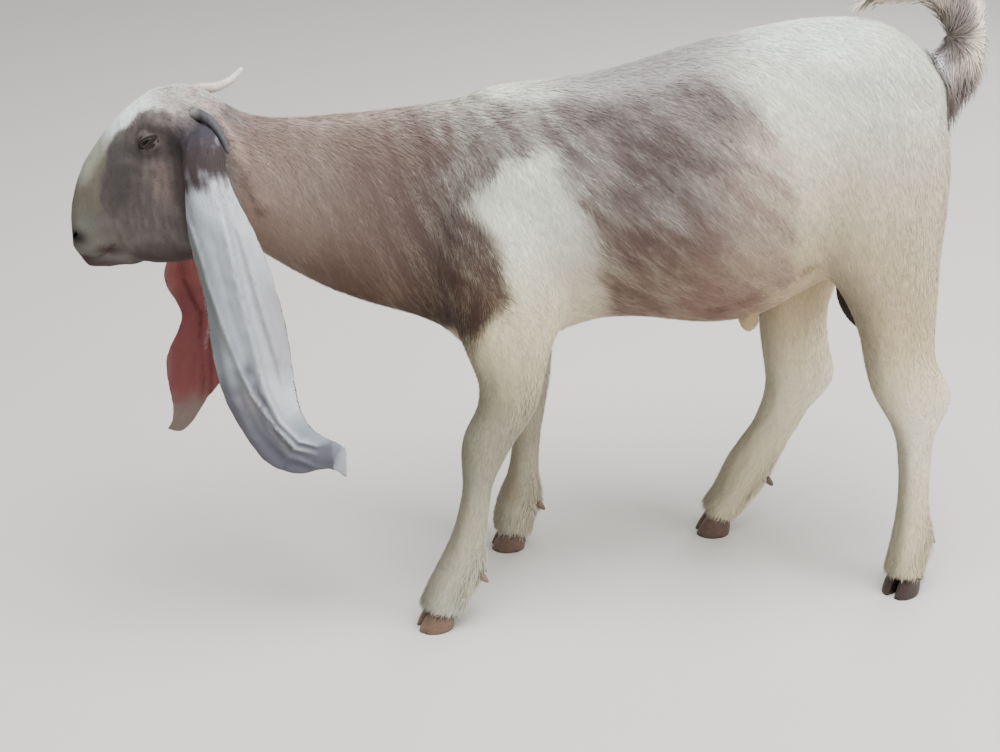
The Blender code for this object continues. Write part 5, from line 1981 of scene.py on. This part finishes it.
# %% Eyeballs
IRIS_RADIUS = 9.6 * MM
PUPIL_HALF_LENGTH = 4.3 * MM
PUPIL_HALF_HEIGHT = 1.5 * MM
# the iris is darkened nearly to black by painted shade, as it lies deep under the lids
# place between the middle (0) and the edge (1), colour
IRIS_STOPS = ((0.00, (0.010, 0.006, 0.004)), (0.40, (0.015, 0.009, 0.005)),
              (0.80, (0.010, 0.007, 0.005)), (0.96, (0.007, 0.005, 0.004)),
              (1.00, (0.012, 0.008, 0.007)))
EYE_PLAN = "eye_front"


def eye_material():
    material, tree, shader = new_material("eye", 0.35, Coat_Weight=0.25, Coat_Roughness=0.06,
                                          Specular_IOR_Level=0.15)
    plan = tree.nodes.new("ShaderNodeUVMap")
    plan.uv_map = EYE_PLAN
    split = add_node(tree, "ShaderNodeSeparateXYZ", Vector=plan.outputs["UV"])
    across, up = [calculate(tree, "SUBTRACT", split.outputs[axis], 0.5) for axis in "XY"]
    span = 2 * EYE_RADIUS

    def power(socket, size):
        return calculate(tree, "POWER", calculate(tree, "DIVIDE", socket, size / span), 4.0)

    total = calculate(tree, "ADD", power(across, PUPIL_HALF_LENGTH),
                      power(up, PUPIL_HALF_HEIGHT))
    pupil = add_node(tree, "ShaderNodeMapRange", Value=total, From_Min=0.75, From_Max=1.35)
    join = add_node(tree, "ShaderNodeCombineXYZ", X=across, Y=up)
    radius = tree.nodes.new("ShaderNodeVectorMath")
    radius.operation = "LENGTH"
    tree.links.new(join.outputs["Vector"], radius.inputs[0])
    ramp = tree.nodes.new("ShaderNodeValToRGB")
    for end in (0, -1):
        ramp.color_ramp.elements[end].position = IRIS_STOPS[end][0]
        ramp.color_ramp.elements[end].color = (*IRIS_STOPS[end][1], 1)
    for position, colour in IRIS_STOPS[1:-1]:
        ramp.color_ramp.elements.new(position).color = (*colour, 1)
    scaled = add_node(tree, "ShaderNodeMapRange", Value=radius.outputs["Value"],
                      From_Max=IRIS_RADIUS / span)
    tree.links.new(scaled.outputs["Result"], ramp.inputs["Fac"])
    rays = add_node(tree, "ShaderNodeTexNoise", Vector=plan.outputs["UV"], Scale=38.0,
                    Detail=3.0)
    tone = scale_colour(tree, ramp.outputs["Color"], widen(tree, rays, 0.65, 1.35))
    dark = scale_colour(tree, tone, pupil.outputs["Result"])
    tree.links.new(dark, shader.inputs["Base Color"])
    return material


def make_eyeball(side, material):
    out, nose, brow = eye_axes(side)
    bm = bmesh.new()
    bmesh.ops.create_uvsphere(bm, u_segments=48, v_segments=32, radius=EYE_RADIUS - 0.2 * MM)
    turn = Matrix((nose, brow, out)).transposed()
    if turn.determinant() < 0:
        turn = Matrix((-nose, brow, out)).transposed()
    bmesh.ops.rotate(bm, cent=(0, 0, 0), matrix=turn, verts=bm.verts)
    plan = bm.loops.layers.uv.new(EYE_PLAN)
    span = 2 * EYE_RADIUS
    for face in bm.faces:
        for loop in face.loops:
            place = loop.vert.co
            loop[plan].uv = (place.dot(nose) / span + 0.5, place.dot(brow) / span + 0.5)
    for vertex in bm.verts:
        ahead = vertex.co.dot(out) / EYE_RADIUS
        vertex.co += out * (1.1 * MM * max(ahead - 0.72, 0.0) / 0.28)
    bmesh.ops.translate(bm, vec=EYES[side], verts=bm.verts)
    ball_piece = link("eyeball_" + side, mesh_of(bm, "eyeball_" + side))
    ball_piece.data.shade_smooth()
    ball_piece.data.materials.append(material)
    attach(ball_piece, "root")
    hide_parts("eye_" + side)


eye_look = eye_material()
for side in EYES:
    make_eyeball(side, eye_look)
print("2 eyeballs")

# %% Rims of the lids
RIM_RADIUS = 0.50 * MM
RIM_COLOUR = (0.032, 0.021, 0.019, 1)
CORNERS_SUNK = 2.2 * MM         # how much deeper the rim lies at the corners


def make_lid_rim(side, material):
    """A moist dark rim round the opening, lying on the eyeball."""
    out, nose, brow = eye_axes(side)
    curve = bpy.data.curves.new("rim", "CURVE")
    curve.dimensions = "3D"
    curve.bevel_depth = RIM_RADIUS
    curve.bevel_resolution = 2
    line = curve.splines.new("POLY")
    outline = almond(56)
    line.points.add(len(outline) - 1)
    line.use_cyclic_u = True
    for point, (along, up) in zip(line.points, outline):
        sunk = CORNERS_SUNK * abs(along / SLIT_HALF_LENGTH)**2.5
        reach = math.sqrt((EYE_RADIUS + 0.45 * MM)**2 - along**2 - up**2) - sunk
        place = EYES[side] + nose * along + brow * up + out * reach
        point.co = (*place, 1.0)
    rim = bpy.data.objects.new("rim", curve)
    bpy.context.scene.collection.objects.link(rim)
    graph = bpy.context.evaluated_depsgraph_get()
    mesh = bpy.data.meshes.new_from_object(rim.evaluated_get(graph))
    bpy.data.objects.remove(rim, do_unlink=True)
    piece = link("lid_rim_" + side, mesh)
    piece.data.shade_smooth()
    cover(piece, material)
    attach(piece, "root")


lid_material, _, lid_shader = new_material("moist lid", 0.35)
lid_shader.inputs["Base Color"].default_value = RIM_COLOUR
for side in EYES:
    make_lid_rim(side, lid_material)
print("2 lid rims")


# %% The scrotum
SCROTUM_COLOUR = (0.085, 0.066, 0.058)


def make_scrotum():
    piece = smooth_copy("scrotum", "scrotum_skin", 3)

    def sac(places):
        low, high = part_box("scrotum")
        middle = (low + high) / 2
        groove_depth = -2.2 * MM * np.exp(-0.5 * ((places[:, 1] - middle.y) / (3 * MM))**2)
        wrinkles = 0.35 * MM * np.sin(places[:, 2] * 1500 + 2 * mottle(places, 0.01))
        return groove_depth + wrinkles - 0.5 * MM

    push_out(piece, sac)
    dye_mesh(piece.data, np.tile(SCROTUM_COLOUR, (len(piece.data.vertices), 1)))
    cover(piece, SKIN_MATERIAL)
    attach(piece, "root")
    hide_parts("scrotum")
    print("scrotum", len(piece.data.polygons), "faces")


make_scrotum()
